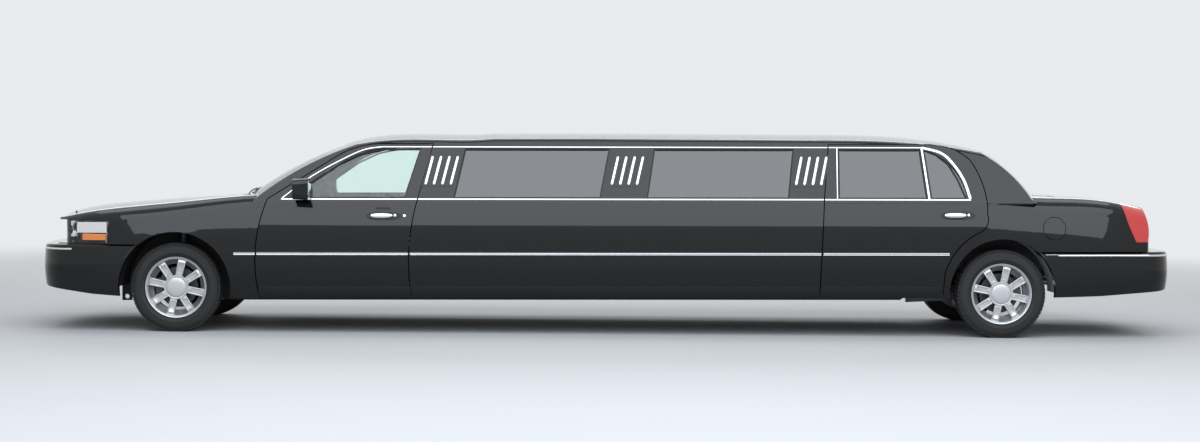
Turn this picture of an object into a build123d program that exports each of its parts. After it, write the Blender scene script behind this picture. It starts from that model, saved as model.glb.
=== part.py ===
from build123d import *
import os
from math import cos, radians, sin, sqrt

os.makedirs("parts", exist_ok=True)

# Stretch limousine in millimetres: +X to the rear, +Y to the car's right, +Z up from the ground.
# The body is drawn level and then tipped nose down about the front axle by the rake.

# Overall sizes
wheelbase = 6292.0
front_overhang = 1108.0
rear_overhang = 1373.0
track_front = 1610.0
track_rear = 1659.0
rake = 0.42
panel_gap = 8.0
fit_gap = 0.3
door_step = 24.0

# Axle places
overall_length = front_overhang + wheelbase + rear_overhang
nose_x = -overall_length / 2
tail_x = overall_length / 2
fx = nose_x + front_overhang
rx = fx + wheelbase

# Wheels
tyre_radius = 338.0
tyre_width = 228.0
bead_radius = 217.0
flange_radius = 233.0
rim_width = 196.0
spoke_count = 8
spoke_width = 56.0
cap_radius = 78.0
disc_radius = 152.0
disc_thickness = 26.0
kingpin_y = 735.0

# Side wall, half widths and heights with the body level
sill_y, sill_z = 955.0, 262.0
bulge_y, bulge_z = 997.0, 600.0
shoulder_y, shoulder_z = 950.0, 985.0
belt_y, belt_z = 935.0, 1010.0
glass_top_y, glass_top_z = 755.0, 1406.0
door_top_z = 1428.0
wall_inner_y = 850.0
frame_depth = 42.0
skin_depth = 14.0
glass_inset = 12.0
glass_thickness = 5.0
lean = (belt_y - glass_top_y) / (glass_top_z - belt_z)
slope = sqrt(1 + lean * lean)

# Roof: drops below its centre line of the rail, of the corner's foot and of the edge
roof_rail_y = 700.0
rail_drop = 47.0
corner_drop = 85.0
edge_drop = 109.0
roof_thickness = 30.0

# Wheel arches
front_arch_radius = 424.0
rear_arch_radius = 405.0
rear_arch_lift = 16.0
liner_gap = 12.0

# Structure
rail_inner_y, rail_outer_y = 360.0, 440.0
rail_bottom_z, rail_top_z = 212.0, 342.0
floor_thickness = 22.0
floor_z = rail_top_z + floor_thickness

sides = (("left", -1), ("right", 1))
rear_hub_z = tyre_radius - wheelbase * sin(radians(rake))
rear_arch_z = rear_hub_z + rear_arch_lift
rake_axis = Axis((fx, 0, tyre_radius), (0, 1, 0))


def finish(piece, label, sprung=True):
    """Tip a sprung piece by the rake, label it and write it."""
    shown = piece.rotate(rake_axis, -rake) if sprung else piece
    shown.label = label
    export_step(shown, f"parts/{label}.step")


def side_y(z):
    """Half width of the leaning upper wall at height z."""
    return belt_y - lean * (z - belt_z)


def outline(plane, start, *legs):
    """Closed face. A leg is an end point, or a through point and an end point of an arc."""
    with BuildSketch(plane) as face:
        with BuildLine():
            here = start
            for leg in legs:
                if isinstance(leg[0], tuple):
                    ThreePointArc(here, leg[0], leg[1])
                    here = leg[1]
                else:
                    Line(here, leg)
                    here = leg
            if here != start:
                Line(here, start)
        make_face()
    return face.sketch


def grown(face, amount):
    """The side-view face with its edge moved out by amount."""
    with BuildSketch(Plane.XZ) as wider:
        add(face)
        offset(amount=amount, kind=Kind.INTERSECTION)
    return wider.sketch


def full_wall(x, hand):
    """Whole thickness of the side wall at x."""
    top_y = side_y(door_top_z)
    in_y, in_z = frame_depth / slope, frame_depth * lean / slope
    return outline(
        Plane.YZ.offset(x),
        (hand * sill_y, sill_z),
        ((hand * bulge_y, bulge_z), (hand * shoulder_y, shoulder_z)),
        (hand * belt_y, belt_z),
        (hand * top_y, door_top_z),
        (hand * (top_y - in_y), door_top_z - in_z),
        (hand * (belt_y - in_y), belt_z - in_z),
        (hand * wall_inner_y, shoulder_z - 30),
        (hand * wall_inner_y, sill_z),
    )


def skin_wall(x, hand, depth):
    """Outer layer of the side wall at x, depth thick."""
    top_y = side_y(door_top_z)
    in_y, in_z = depth / slope, depth * lean / slope
    return outline(
        Plane.YZ.offset(x),
        (hand * sill_y, sill_z),
        ((hand * bulge_y, bulge_z), (hand * shoulder_y, shoulder_z)),
        (hand * belt_y, belt_z),
        (hand * top_y, door_top_z),
        (hand * (top_y - in_y), door_top_z - in_z),
        (hand * (belt_y - in_y), belt_z - in_z),
        (hand * (shoulder_y - depth), shoulder_z - in_z),
        ((hand * (bulge_y - depth), bulge_z), (hand * (sill_y - depth), sill_z)),
    )


def glass_wall(x, hand):
    """Section of the side glass at x, set in from the leaning skin."""
    low, high = belt_z - 20, door_top_z - 12
    near, far = glass_inset, glass_inset + glass_thickness
    return outline(
        Plane.YZ.offset(x),
        (hand * (side_y(low) - near * slope), low),
        (hand * (side_y(high) - near * slope), high),
        (hand * (side_y(high) - far * slope), high),
        (hand * (side_y(low) - far * slope), low),
    )


# Door outlines in side view
window_low_z = belt_z + 10
window_top_z = glass_top_z - 10
b_top, b_belt, b_low, b_sill = fx + 1940.5, fx + 1831.5, fx + 1770.0, fx + 1788.5
c_top, c_belt, c_low, c_sill = rx - 1307.5, rx - 1358.5, rx - 1380.0, rx - 1394.5
front_door_face = outline(
    Plane.XZ,
    (fx + 646.5, sill_z),
    ((fx + 619.5, 640), (fx + 703.5, belt_z)),
    (fx + 1205.0, 1327),
    ((fx + 1370.0, 1402), (fx + 1560.0, door_top_z)),
    (b_top, door_top_z),
    (b_belt, belt_z),
    ((b_low, 640), (b_sill, sill_z)),
)
front_window_face = outline(
    Plane.XZ,
    (fx + 850.0, window_low_z),
    (fx + 1232.5, 1285),
    ((fx + 1400.0, 1362), (fx + 1560.0, window_top_z)),
    (fx + 1852.5, window_top_z),
    (fx + 1740.5, window_low_z),
)
rear_door_face = outline(
    Plane.XZ,
    (c_sill, sill_z),
    ((c_low, 640), (c_belt, belt_z)),
    (c_top, door_top_z),
    (rx - 533.5, door_top_z),
    ((rx - 340.0, 1388), (rx - 226.5, 1309)),
    ((rx - 150.0, 1140), (rx - 124.5, 905)),
    ((rx - 135.0, 810), (rx - 185.5, 767)),
    ((rx - 373.0, 612), (rx - 450.5, 450)),
    (rx - 460.5, sill_z),
)
rear_window_face = outline(
    Plane.XZ,
    (rx - 1252.0, window_low_z),
    (rx - 1238.0, window_top_z),
    (rx - 606.0, window_top_z),
    (rx - 572.0, window_low_z),
)
quarter_window_face = outline(
    Plane.XZ,
    (rx - 546.0, window_low_z),
    (rx - 580.0, window_top_z),
    ((rx - 392.0, 1290), (rx - 272.0, window_low_z)),
)

# Stretch side outline and its windows: front and rear ends at the foot, and the lean of each end
stretch_mid = (b_belt + c_belt) / 2 + 17
stretch_face = outline(
    Plane.XZ,
    (b_sill + panel_gap, sill_z),
    ((b_low + panel_gap, 640), (b_belt + panel_gap, belt_z)),
    (b_top + panel_gap, door_top_z),
    (c_top - panel_gap, door_top_z),
    (c_belt - panel_gap, belt_z),
    ((c_low - panel_gap, 640), (c_sill - panel_gap, sill_z)),
)
# columns: front foot, rear foot, lean of the front end, lean of the rear end
stretch_windows_table = (
    (b_belt + 275, stretch_mid - 176, 82, 75),
    (stretch_mid + 176, c_belt - 272, 62, 51),
)
stretch_window_faces = [
    outline(
        Plane.XZ,
        (front, window_low_z),
        (front + front_lean, window_top_z),
        (rear + rear_lean, window_top_z),
        (rear, window_low_z),
    )
    for front, rear, front_lean, rear_lean in stretch_windows_table
]


def layered_wall(face, hand):
    """Door or side: an outer skin to the outline and a thicker inner box set in by the step."""
    length = wheelbase + 1000
    with BuildPart() as skin:
        extrude(skin_wall(-length / 2, hand, skin_depth), amount=length)
        extrude(face, amount=1200, both=True, mode=Mode.INTERSECT)
    with BuildPart() as whole:
        extrude(full_wall(-length / 2, hand), amount=length)
        extrude(grown(face, -door_step), amount=1200, both=True, mode=Mode.INTERSECT)
        add(skin.part)
    return whole.part


def plain_wall(face, hand):
    """Fixed side panel of the whole wall thickness."""
    length = wheelbase + 1000
    with BuildPart() as whole:
        extrude(full_wall(-length / 2, hand), amount=length)
        extrude(face, amount=1200, both=True, mode=Mode.INTERSECT)
    return whole.part


def window_pane(face, hand, rim=14.0):
    """Side glass that reaches behind the window's edge by the rim."""
    length = wheelbase + 1000
    with BuildPart() as pane:
        extrude(glass_wall(-length / 2, hand), amount=length)
        extrude(grown(face, rim), amount=1200, both=True, mode=Mode.INTERSECT)
    return pane.part


# Front doors, each with its glass and mirror
mirror_x, mirror_z = fx + 970.0, 1088.0
for side, hand in sides:
    glass = window_pane(front_window_face, hand)
    with BuildPart() as front_door:
        add(layered_wall(front_door_face, hand))
        extrude(front_window_face, amount=1200, both=True, mode=Mode.SUBTRACT)
        add(glass, mode=Mode.SUBTRACT)
    finish(front_door.part, f"front_door_{side}")
    finish(glass, f"front_door_glass_{side}")
    with BuildPart() as mirror:
        with BuildSketch(Plane.YZ.offset(mirror_x - 60)):
            with Locations((hand * 1035, mirror_z)):
                RectangleRounded(190, 150, 45)
        with BuildSketch(Plane.YZ.offset(mirror_x + 55)):
            with Locations((hand * 1035, mirror_z)):
                RectangleRounded(205, 162, 40)
        loft()
        with BuildSketch(Plane.XZ.offset(-hand * 905)):
            with Locations((mirror_x + 5, mirror_z - 45)):
                RectangleRounded(90, 54, 20)
        extrude(amount=-hand * 60)
        add(front_door.part, mode=Mode.SUBTRACT)
        add(glass, mode=Mode.SUBTRACT)
    finish(mirror.part.solids().sort_by(SortBy.VOLUME)[-1], f"mirror_{side}")

# Rear doors, each with its glass and quarter glass
for side, hand in sides:
    with BuildPart() as panes:
        add(window_pane(rear_window_face, hand, 10.0))
        add(window_pane(quarter_window_face, hand, 10.0))
    with BuildPart() as rear_door:
        add(layered_wall(rear_door_face, hand))
        extrude(rear_window_face, amount=1200, both=True, mode=Mode.SUBTRACT)
        extrude(quarter_window_face, amount=1200, both=True, mode=Mode.SUBTRACT)
        add(panes.part, mode=Mode.SUBTRACT)
    finish(rear_door.part, f"rear_door_{side}")
    finish(panes.part, f"rear_door_glass_{side}")

# Stretch sides with the rear doors' hinge blocks, and their dark glass
with BuildPart() as stretch_windows:
    for side, hand in sides:
        for face in stretch_window_faces:
            add(window_pane(face, hand))
with BuildPart() as stretch_sides:
    for side, hand in sides:
        add(plain_wall(stretch_face, hand))
        for hinge_z in (400, 780):
            with BuildSketch(Plane.XY.offset(hinge_z)):
                with Locations((c_low - 20, hand * 885)):
                    Rectangle(100, 50)
            extrude(amount=70)
    extrude(grown(rear_door_face, fit_gap - door_step), amount=1200, both=True, mode=Mode.SUBTRACT)
    for face in stretch_window_faces:
        extrude(face, amount=1200, both=True, mode=Mode.SUBTRACT)
    add(stretch_windows.part, mode=Mode.SUBTRACT)
finish(stretch_sides.part, "stretch_sides")
finish(stretch_windows.part, "stretch_windows")

# Chrome bars on the stretch pillars
bar_pitch, bar_width, bar_low_z, bar_high_z, bar_lean = 64.0, 24.0, 1118.0, 1338.0, 53.0
bar_groups = (b_top - 8, stretch_mid - 49, c_top - 226)
with BuildPart() as pillar_louvres:
    for side, hand in sides:
        for start in bar_groups:
            for index in range(4):
                foot = start + index * bar_pitch - bar_lean
                with BuildSketch(Plane.YZ.offset(foot - 20)) as strip:
                    with BuildLine():
                        Polyline(
                            (hand * side_y(bar_low_z), bar_low_z),
                            (hand * side_y(bar_high_z), bar_high_z),
                            (hand * (side_y(bar_high_z) + 9), bar_high_z),
                            (hand * (side_y(bar_low_z) + 9), bar_low_z),
                            close=True,
                        )
                    make_face()
                bar_face = outline(
                    Plane.XZ,
                    (foot, bar_low_z),
                    (foot + bar_width, bar_low_z),
                    (foot + bar_lean + bar_width, bar_high_z),
                    (foot + bar_lean, bar_high_z),
                )
                band = extrude(strip.sketch, amount=bar_lean + bar_width + 40, mode=Mode.PRIVATE)
                cut = extrude(bar_face, amount=1200, both=True, mode=Mode.PRIVATE)
                add(band & cut)
finish(pillar_louvres.part, "pillar_louvres")

# Windscreen and rear window are turned about upright axes, which gives their curve in plan
screen_radius = 2700.0
screen_axis_x = fx + 428.5 + screen_radius
screen_low, screen_mid, screen_high = (fx + 428.5, 1005.0), (fx + 975.5, 1334.0), (fx + 1194.5, 1421.0)
back_radius = 2600.0
back_axis_x = rx + 387.5 - back_radius
back_low, back_mid, back_high = (rx + 387.5, 1023.0), (rx + 206.5, 1225.0), (rx - 43.5, 1390.0)


def bounded(face, axis_x, reach):
    """Solid bounded by a profile turned about an upright axis and carried on past the axis by the reach."""
    box = face.bounding_box()
    with BuildPart() as body:
        add(face)
        revolve(axis=Axis((axis_x, 0, 0), (0, 0, 1)), revolution_arc=360)
        with BuildSketch(Plane.YZ.offset(axis_x)):
            with Locations((0, (box.min.Z + box.max.Z) / 2)):
                Rectangle(2400, box.max.Z - box.min.Z)
        extrude(amount=reach)
    return body.part


def screen_solid(inset):
    """Everything behind the windscreen's surface, moved in by the inset."""
    face = outline(
        Plane.XZ,
        (screen_axis_x, 700.0),
        (screen_low[0] - 180 + inset, 700.0),
        (screen_low[0] + inset, screen_low[1]),
        ((screen_mid[0] + inset, screen_mid[1]), (screen_high[0] + inset, screen_high[1])),
        (screen_high[0] + 400 + inset, screen_high[1] + 190),
        (screen_axis_x, screen_high[1] + 190),
    )
    return bounded(face, screen_axis_x, wheelbase)


def back_solid(inset):
    """Everything ahead of the rear window's surface, moved in by the inset."""
    face = outline(
        Plane.XZ,
        (back_axis_x, 900.0),
        (back_low[0] + 140 - inset, 900.0),
        (back_low[0] - inset, back_low[1]),
        ((back_mid[0] - inset, back_mid[1]), (back_high[0] - inset, back_high[1])),
        (back_high[0] - 520 - inset, back_high[1] + 170),
        (back_axis_x, back_high[1] + 170),
    )
    return bounded(face, back_axis_x, -wheelbase)


screen_outer = screen_solid(0.0)
screen_inner = screen_solid(8.0)
screen_back = screen_solid(16.0)
back_outer = back_solid(0.0)
back_inner = back_solid(8.0)
back_behind = back_solid(16.0)
pillar_foot_z = belt_z - 60
above_pillar_foot = Pos(0, 0, pillar_foot_z - fit_gap + 500) * Box(3 * wheelbase, 2400, 1000)
screen_upper = screen_outer & above_pillar_foot

# Roof stations, columns: x, height of the centre line. The middle is ruled and both ends are curved
roof_table = (
    (fx + 1120.0, 1394.0),
    (fx + 1413.5, 1486.0),
    (fx + 1781.5, 1514.0),
    (fx + 2400.0, 1519.0),
    ((fx + rx) / 2, 1521.0),
    (rx - 1500.0, 1514.0),
    (rx - 629.5, 1490.0),
    (rx - 256.5, 1440.0),
    (rx + 20.0, 1374.0),
)


def roof_face(x, top):
    """Cross section of the roof skin with its rounded rails."""
    edge_z = top - edge_drop
    edge_y = side_y(edge_z)
    foot = (side_y(top - corner_drop), top - corner_drop)
    rail_z = top - rail_drop
    corner = (foot[0] - 15, foot[1] + 25)
    inner_y = edge_y - roof_thickness
    with BuildSketch(Plane.YZ.offset(x)) as face:
        with BuildLine():
            Line((-edge_y, edge_z), (-foot[0], foot[1]))
            ThreePointArc((-foot[0], foot[1]), (-corner[0], corner[1]), (-roof_rail_y, rail_z))
            ThreePointArc((-roof_rail_y, rail_z), (0, top), (roof_rail_y, rail_z))
            ThreePointArc((roof_rail_y, rail_z), corner, foot)
            Line(foot, (edge_y, edge_z))
            Line((edge_y, edge_z), (inner_y, edge_z))
            ThreePointArc((inner_y, edge_z), (0, top - roof_thickness), (-inner_y, edge_z))
            Line((-inner_y, edge_z), (-edge_y, edge_z))
        make_face()
    return face.sketch


def beside(face, inner_y):
    """Cutter on both sides of the car, outside inner_y, in the shape of a side-view face."""
    with BuildPart() as cutter:
        extrude(face, amount=1200, both=True)
        with BuildSketch(Plane.XY):
            Rectangle(2 * wheelbase, 2 * inner_y)
        extrude(amount=2000, mode=Mode.SUBTRACT)
    return cutter.part


front_gap_face = grown(front_door_face, panel_gap)
rear_gap_face = grown(rear_door_face, panel_gap)
with BuildPart() as roof_panel:
    for stations, straight in ((roof_table[:4], False), (roof_table[3:6], True), (roof_table[5:], False)):
        loft([roof_face(x, top) for x, top in stations], ruled=straight)
    add(screen_outer, mode=Mode.INTERSECT)
    add(back_outer, mode=Mode.INTERSECT)
    for face in (front_gap_face, stretch_face, rear_gap_face):
        add(beside(face, 660), mode=Mode.SUBTRACT)
finish(roof_panel.part, "roof_panel")


def pillar(hand, front_x, rear_x, foot_z, gap_face, screen):
    """What the side wall leaves between a door and a screen."""
    with BuildPart() as post:
        extrude(full_wall(front_x, hand), amount=rear_x - front_x)
        with BuildSketch(Plane.XY.offset(foot_z)):
            with Locations(((front_x + rear_x) / 2, 0)):
                Rectangle(rear_x - front_x, 2400)
        extrude(amount=door_top_z - foot_z, mode=Mode.INTERSECT)
        extrude(gap_face, amount=1200, both=True, mode=Mode.SUBTRACT)
        add(screen, mode=Mode.INTERSECT)
        add(roof_panel.part, mode=Mode.SUBTRACT)
    return post.part.solids()


# Front pillars between the windscreen and the doors
with BuildPart() as windscreen_frame:
    for hand in (-1, 1):
        add(pillar(hand, fx + 300, fx + 1700, pillar_foot_z, front_gap_face, screen_outer).sort_by(Axis.X)[0])
    with BuildSketch(Plane.XY.offset(pillar_foot_z)):
        with Locations((screen_axis_x, 0)):
            Circle(screen_radius + 34)
            Circle(screen_radius - 60, mode=Mode.SUBTRACT)
        with Locations((fx + 550, 0)):
            Rectangle(500, 2 * 900, mode=Mode.INTERSECT)
    extrude(amount=36)
finish(windscreen_frame.part, "windscreen_frame")

with BuildPart() as windscreen:
    add(screen_inner)
    add(screen_back, mode=Mode.SUBTRACT)
    with BuildSketch(Plane.YZ.offset(fx)):
        with Locations((0, 1210)):
            Rectangle(2 * 900, 520)
    extrude(amount=1400, mode=Mode.INTERSECT)
    for hand in (-1, 1):
        extrude(full_wall(fx, hand), amount=1800, mode=Mode.SUBTRACT)
    add(roof_panel.part, mode=Mode.SUBTRACT)
    add(windscreen_frame.part, mode=Mode.SUBTRACT)
finish(windscreen.part.solids().sort_by(SortBy.VOLUME)[-1], "windscreen")

# Front wings, columns: x from the front axle, then half width and height of the foot, the bulge,
# the shoulder, the roll over the top and the seam with the hood, and the height of the hood's middle
hood_seam_y = 745.0
wing_table = (
    (-900.0, (800, 420), (832, 650), (812, 800), (775, 850), 868, 903),
    (-800.0, (850, 380), (880, 640), (860, 810), (825, 865), 892, 931),
    (-420.0, (942, 275), (976, 600), (945, 850), (893, 918), 938, 975),
    (0.0, (955, 262), (995, 600), (958, 895), (905, 960), 974, 1008),
    (420.0, (955, 262), (997, 600), (955, 940), (930, 985), 998, 1017),
    (760.0, (955, 262), (997, 600), (952, 970), (936, 996), 1006, 1018),
)
wing_thickness = 38.0


def wing_face(x, hand, seam_y, foot, bulge, shoulder, roll, seam_z, thickness):
    """Cross section of a wing: side, rounded shoulder and a lip to the seam beside the lid."""
    inner = [
        (seam_y, seam_z - thickness),
        (shoulder[0] - thickness - 15, roll[1] - thickness),
        (shoulder[0] - thickness, shoulder[1] - 20),
        (foot[0] - thickness, foot[1]),
    ]
    return outline(
        Plane.YZ.offset(x),
        (hand * foot[0], foot[1]),
        ((hand * bulge[0], bulge[1]), (hand * shoulder[0], shoulder[1])),
        ((hand * roll[0], roll[1]), (hand * seam_y, seam_z)),
        *[(hand * y, z) for y, z in inner],
    )


def wing_solid(table, start, hand, seam_y, thickness=wing_thickness):
    """Shell of a wing through the stations of the table."""
    faces = [wing_face(start + row[0], hand, seam_y, *row[1:6], thickness) for row in table]
    return loft(faces, mode=Mode.PRIVATE)


bumper_top_z = 663.0
arch_x = fx - front_arch_radius
lamp_face = outline(
    Plane.XZ,
    (nose_x - 50, bumper_top_z + 12),
    (fx - 512.0, bumper_top_z + 12),
    (fx - 500.0, 838.0),
    (fx - 760.0, 850.0),
    (nose_x - 50, 850.0),
)
with BuildPart() as front_wings:
    for hand in (-1, 1):
        add(wing_solid(wing_table, fx, hand, hood_seam_y))
    extrude(front_gap_face, amount=1200, both=True, mode=Mode.SUBTRACT)
    with BuildSketch(Plane.XZ):
        with Locations((fx, tyre_radius)):
            Circle(front_arch_radius)
    extrude(amount=1200, both=True, mode=Mode.SUBTRACT)
    with BuildSketch(Plane.XY.offset(100)):
        with Locations((fx - 900, 0)):
            Rectangle(1300, 2400)
    extrude(amount=bumper_top_z + 4 - 100, mode=Mode.SUBTRACT)
    extrude(lamp_face, amount=1200, both=True, mode=Mode.SUBTRACT)
    add(windscreen_frame.part, mode=Mode.SUBTRACT)
    add(screen_upper, mode=Mode.SUBTRACT)
with BuildPart() as wings_kept:
    for hand in (-1, 1):
        wing_solids = front_wings.part.solids().filter_by(lambda s: s.center().Y * hand > 0)
        add(wing_solids.sort_by(SortBy.VOLUME)[-1])
finish(wings_kept.part, "front_wings")

# Hood: crowned panel between the wings, curved in plan at both ends
hood_thickness = 34.0
hood_hinge_x, hood_hinge_z = fx + 500.0, 1022.0


def lid_face(x, seam_z, crown_z, half, thickness):
    return outline(
        Plane.YZ.offset(x),
        (-half, seam_z),
        ((0, crown_z), (half, seam_z)),
        (half, seam_z - thickness),
        ((0, crown_z - thickness), (-half, seam_z - thickness)),
    )


with BuildPart() as hood:
    half = hood_seam_y - panel_gap
    loft([lid_face(fx + row[0], row[5], row[6], half, hood_thickness) for row in wing_table])
    with BuildSketch(Plane.XY.offset(700)):
        with Locations((screen_axis_x, 0)):
            Circle(screen_radius + 34 + panel_gap)
    extrude(amount=500, mode=Mode.SUBTRACT)
    with BuildSketch(Plane.XY.offset(700)):
        with Locations((fx - 880 + 2600, 0)):
            Circle(2600)
    extrude(amount=500, mode=Mode.INTERSECT)
finish(hood.part, "hood")

# Rear quarters, with the same columns as the wings and the height of the boot lid's middle
boot_seam_y = 700.0
quarter_table = (
    (-480.0, (955, 262), (997, 600), (952, 970), (936, 996), 1006, 1020),
    (0.0, (955, 262), (995, 600), (950, 955), (932, 990), 1004, 1022),
    (487.0, (945, 262), (983, 600), (938, 915), (905, 975), 1001, 1023),
    (838.0, (920, 285), (958, 600), (911, 880), (876, 955), 986, 1014),
    (1057.0, (885, 315), (920, 600), (872, 835), (830, 920), 956, 984),
    (1243.0, (830, 350), (858, 600), (812, 780), (775, 870), 910, 940),
)
tail_radius = 2600.0
tail_axis_x = rx + 1290.0 - tail_radius
boot_top_z = 1100.0
tail_face = outline(
    Plane.XZ,
    (tail_axis_x, sill_z - 20),
    (rx + 1294.0, sill_z - 20),
    (rx + 1288.0, 700.0),
    ((rx + 1276.0, 850.0), (rx + 1232.0, 945.0)),
    (rx + 1150.0, boot_top_z),
    (rx + 1150.0, door_top_z + 60),
    (tail_axis_x, door_top_z + 60),
)
tail_outer = bounded(tail_face, tail_axis_x, -wheelbase)
rear_bumper_top_z = 612.0
tail_lamp_y = 560.0
tail_lamp_face = outline(
    Plane.XZ,
    (rx + 1036.0, rear_bumper_top_z + 76),
    (rx + 1500.0, rear_bumper_top_z + 76),
    (rx + 1500.0, 1010.0),
    (rx + 930.0, 1010.0),
    ((rx + 958.0, 890.0), (rx + 1036.0, rear_bumper_top_z + 76)),
)
flap_x, flap_z, flap_radius, flap_gap = rx + 392.0, 794.0, 84.0, 5.0


quarter_shell = wing_solid(quarter_table, rx, -1, boot_seam_y)


def flap_cylinder(x, radius):
    """Round cutter through the left side at the fuel flap's height."""
    with BuildPart() as cutter:
        with BuildSketch(Plane.XZ.offset(800)):
            with Locations((x, flap_z)):
                Circle(radius)
        extrude(amount=400)
    return cutter.part


def flap_layer(depth, radius):
    """Round piece of the left quarter's outer layer, depth thick."""
    return (quarter_shell - Pos(0, depth, 0) * quarter_shell) & flap_cylinder(flap_x, radius)


flap_thickness = 8.0
flap_boss = Pos(0, flap_thickness + fit_gap, 0) * quarter_shell
flap_boss = flap_boss & quarter_shell & flap_cylinder(flap_x - 50, 14)


def tail_skirt(hand):
    """Rear panel under a tail lamp, from the quarter's corner to the boot lid's gap."""
    skirt_outer_y = 820.0
    with BuildPart() as panel:
        with BuildSketch(Plane.XY.offset(rear_bumper_top_z + 4)):
            with Locations((tail_axis_x, 0)):
                Circle(tail_radius + 10)
                Circle(tail_radius - 26, mode=Mode.SUBTRACT)
            with Locations((rx + 1200, hand * (tail_lamp_y + skirt_outer_y) / 2)):
                Rectangle(400, skirt_outer_y - tail_lamp_y, mode=Mode.INTERSECT)
        extrude(amount=90)
    return panel.part


with BuildPart() as quarters:
    for hand in (-1, 1):
        add(wing_solid(quarter_table, rx, hand, boot_seam_y))
        add(tail_skirt(hand))
        add(pillar(hand, rx - 700, rx + 600, shoulder_z, rear_gap_face, back_outer).sort_by(Axis.X)[-1])
    extrude(rear_gap_face, amount=1200, both=True, mode=Mode.SUBTRACT)
    extrude(
        outline(
            Plane.XZ,
            (rx - 700, 100),
            (rx - 466, 100),
            (rx - 466, 420),
            (rx - 440, 520),
            (rx - 300, 1030),
            (rx - 700, 1030),
        ),
        amount=1200, both=True, mode=Mode.SUBTRACT,
    )
    with BuildSketch(Plane.XZ):
        with Locations((rx, rear_arch_z)):
            Circle(rear_arch_radius)
    extrude(amount=1200, both=True, mode=Mode.SUBTRACT)
    with BuildSketch(Plane.XY.offset(100)):
        with Locations((rx + 900, 0)):
            Rectangle(1400, 2400)
    extrude(amount=rear_bumper_top_z + 4 - 100, mode=Mode.SUBTRACT)
    add(tail_outer, mode=Mode.INTERSECT)
    extrude(grown(tail_lamp_face, fit_gap), amount=1200, both=True, mode=Mode.SUBTRACT)
    add(flap_layer(24.0, flap_radius + flap_gap), mode=Mode.SUBTRACT)
    add(flap_boss)
with BuildPart() as rear_quarters:
    for hand in (-1, 1):
        add(quarters.part.solids().filter_by(lambda s: s.center().Y * hand > 0).sort_by(SortBy.VOLUME)[-1])
finish(rear_quarters.part, "rear_quarters")

with BuildPart() as fuel_flap:
    add(flap_layer(flap_thickness, flap_radius))
finish(fuel_flap.part, "fuel_flap")

with BuildPart() as tail_lamps:
    for hand in (-1, 1):
        faces = [
            outline(
                Plane.YZ.offset(rx + row[0]),
                (hand * row[1][0], row[1][1]),
                ((hand * row[2][0], row[2][1]), (hand * row[3][0], row[3][1])),
                ((hand * row[4][0], row[4][1]), (hand * boot_seam_y, row[5])),
                (hand * tail_lamp_y, row[5]),
                (hand * tail_lamp_y, row[1][1]),
            )
            for row in quarter_table[2:]
        ]
        add(loft(faces, mode=Mode.PRIVATE))
    extrude(tail_lamp_face, amount=1200, both=True, mode=Mode.INTERSECT)
    add(tail_outer, mode=Mode.INTERSECT)
    with BuildSketch(Plane.XY.offset(500)):
        with Locations((rx + 970, 0)):
            Rectangle(240, 2 * 780)
    extrude(amount=405, mode=Mode.SUBTRACT)
finish(tail_lamps.part, "tail_lamps")

# Boot lid: crowned top and a rear face between the lamps
lid_front_x = rx + 548.0
lid_low_z = rear_bumper_top_z + 12
lid_half = tail_lamp_y - panel_gap


def lid_rear_face():
    """Upright part of the boot lid, curved in plan."""
    with BuildPart() as face:
        add(tail_outer)
        with BuildSketch(Plane.YZ.offset(rx + 1100)):
            with Locations((0, (lid_low_z + 930) / 2)):
                Rectangle(2 * lid_half, 930 - lid_low_z)
        extrude(amount=300, mode=Mode.INTERSECT)
        with BuildSketch(Plane.XY.offset(500)):
            with Locations((tail_axis_x, 0)):
                Circle(tail_radius - 70)
        extrude(amount=600, mode=Mode.SUBTRACT)
    return face.part


with BuildPart() as boot_lid:
    half = boot_seam_y - panel_gap
    loft([lid_face(rx + row[0], row[5], row[6], half, hood_thickness) for row in quarter_table[1:]])
    with BuildSketch(Plane.XY.offset(800)):
        with Locations((lid_front_x + 1000, 0)):
            Rectangle(2000, 2 * 900)
    extrude(amount=400, mode=Mode.INTERSECT)
    add(lid_rear_face())
    add(tail_outer, mode=Mode.INTERSECT)
    add(beside(grown(tail_lamp_face, panel_gap), lid_half), mode=Mode.SUBTRACT)
finish(boot_lid.part, "boot_lid")

with BuildPart() as rear_deck:
    loft([lid_face(rx + row[0], row[5], row[6], boot_seam_y, hood_thickness) for row in quarter_table[:4]])
    with BuildSketch(Plane.XY.offset(800)):
        with Locations((lid_front_x - panel_gap - 350, 0)):
            Rectangle(700, 2 * 900)
    extrude(amount=400, mode=Mode.INTERSECT)
    add(back_outer, mode=Mode.SUBTRACT)
    add(rear_quarters.part, mode=Mode.SUBTRACT)
finish(rear_deck.part.solids().sort_by(SortBy.VOLUME)[-1], "rear_deck")

with BuildPart() as rear_window:
    add(back_inner)
    add(back_behind, mode=Mode.SUBTRACT)
    with BuildSketch(Plane.YZ.offset(rx - 100)):
        with Locations((0, 1220)):
            Rectangle(2 * 900, 480)
    extrude(amount=800, mode=Mode.INTERSECT)
    for hand in (-1, 1):
        extrude(full_wall(rx - 700, hand), amount=1300, mode=Mode.SUBTRACT)
    add(roof_panel.part, mode=Mode.SUBTRACT)
    add(rear_quarters.part, mode=Mode.SUBTRACT)
    add(rear_deck.part, mode=Mode.SUBTRACT)
finish(rear_window.part.solids().sort_by(SortBy.VOLUME)[-1], "rear_window")

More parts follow.
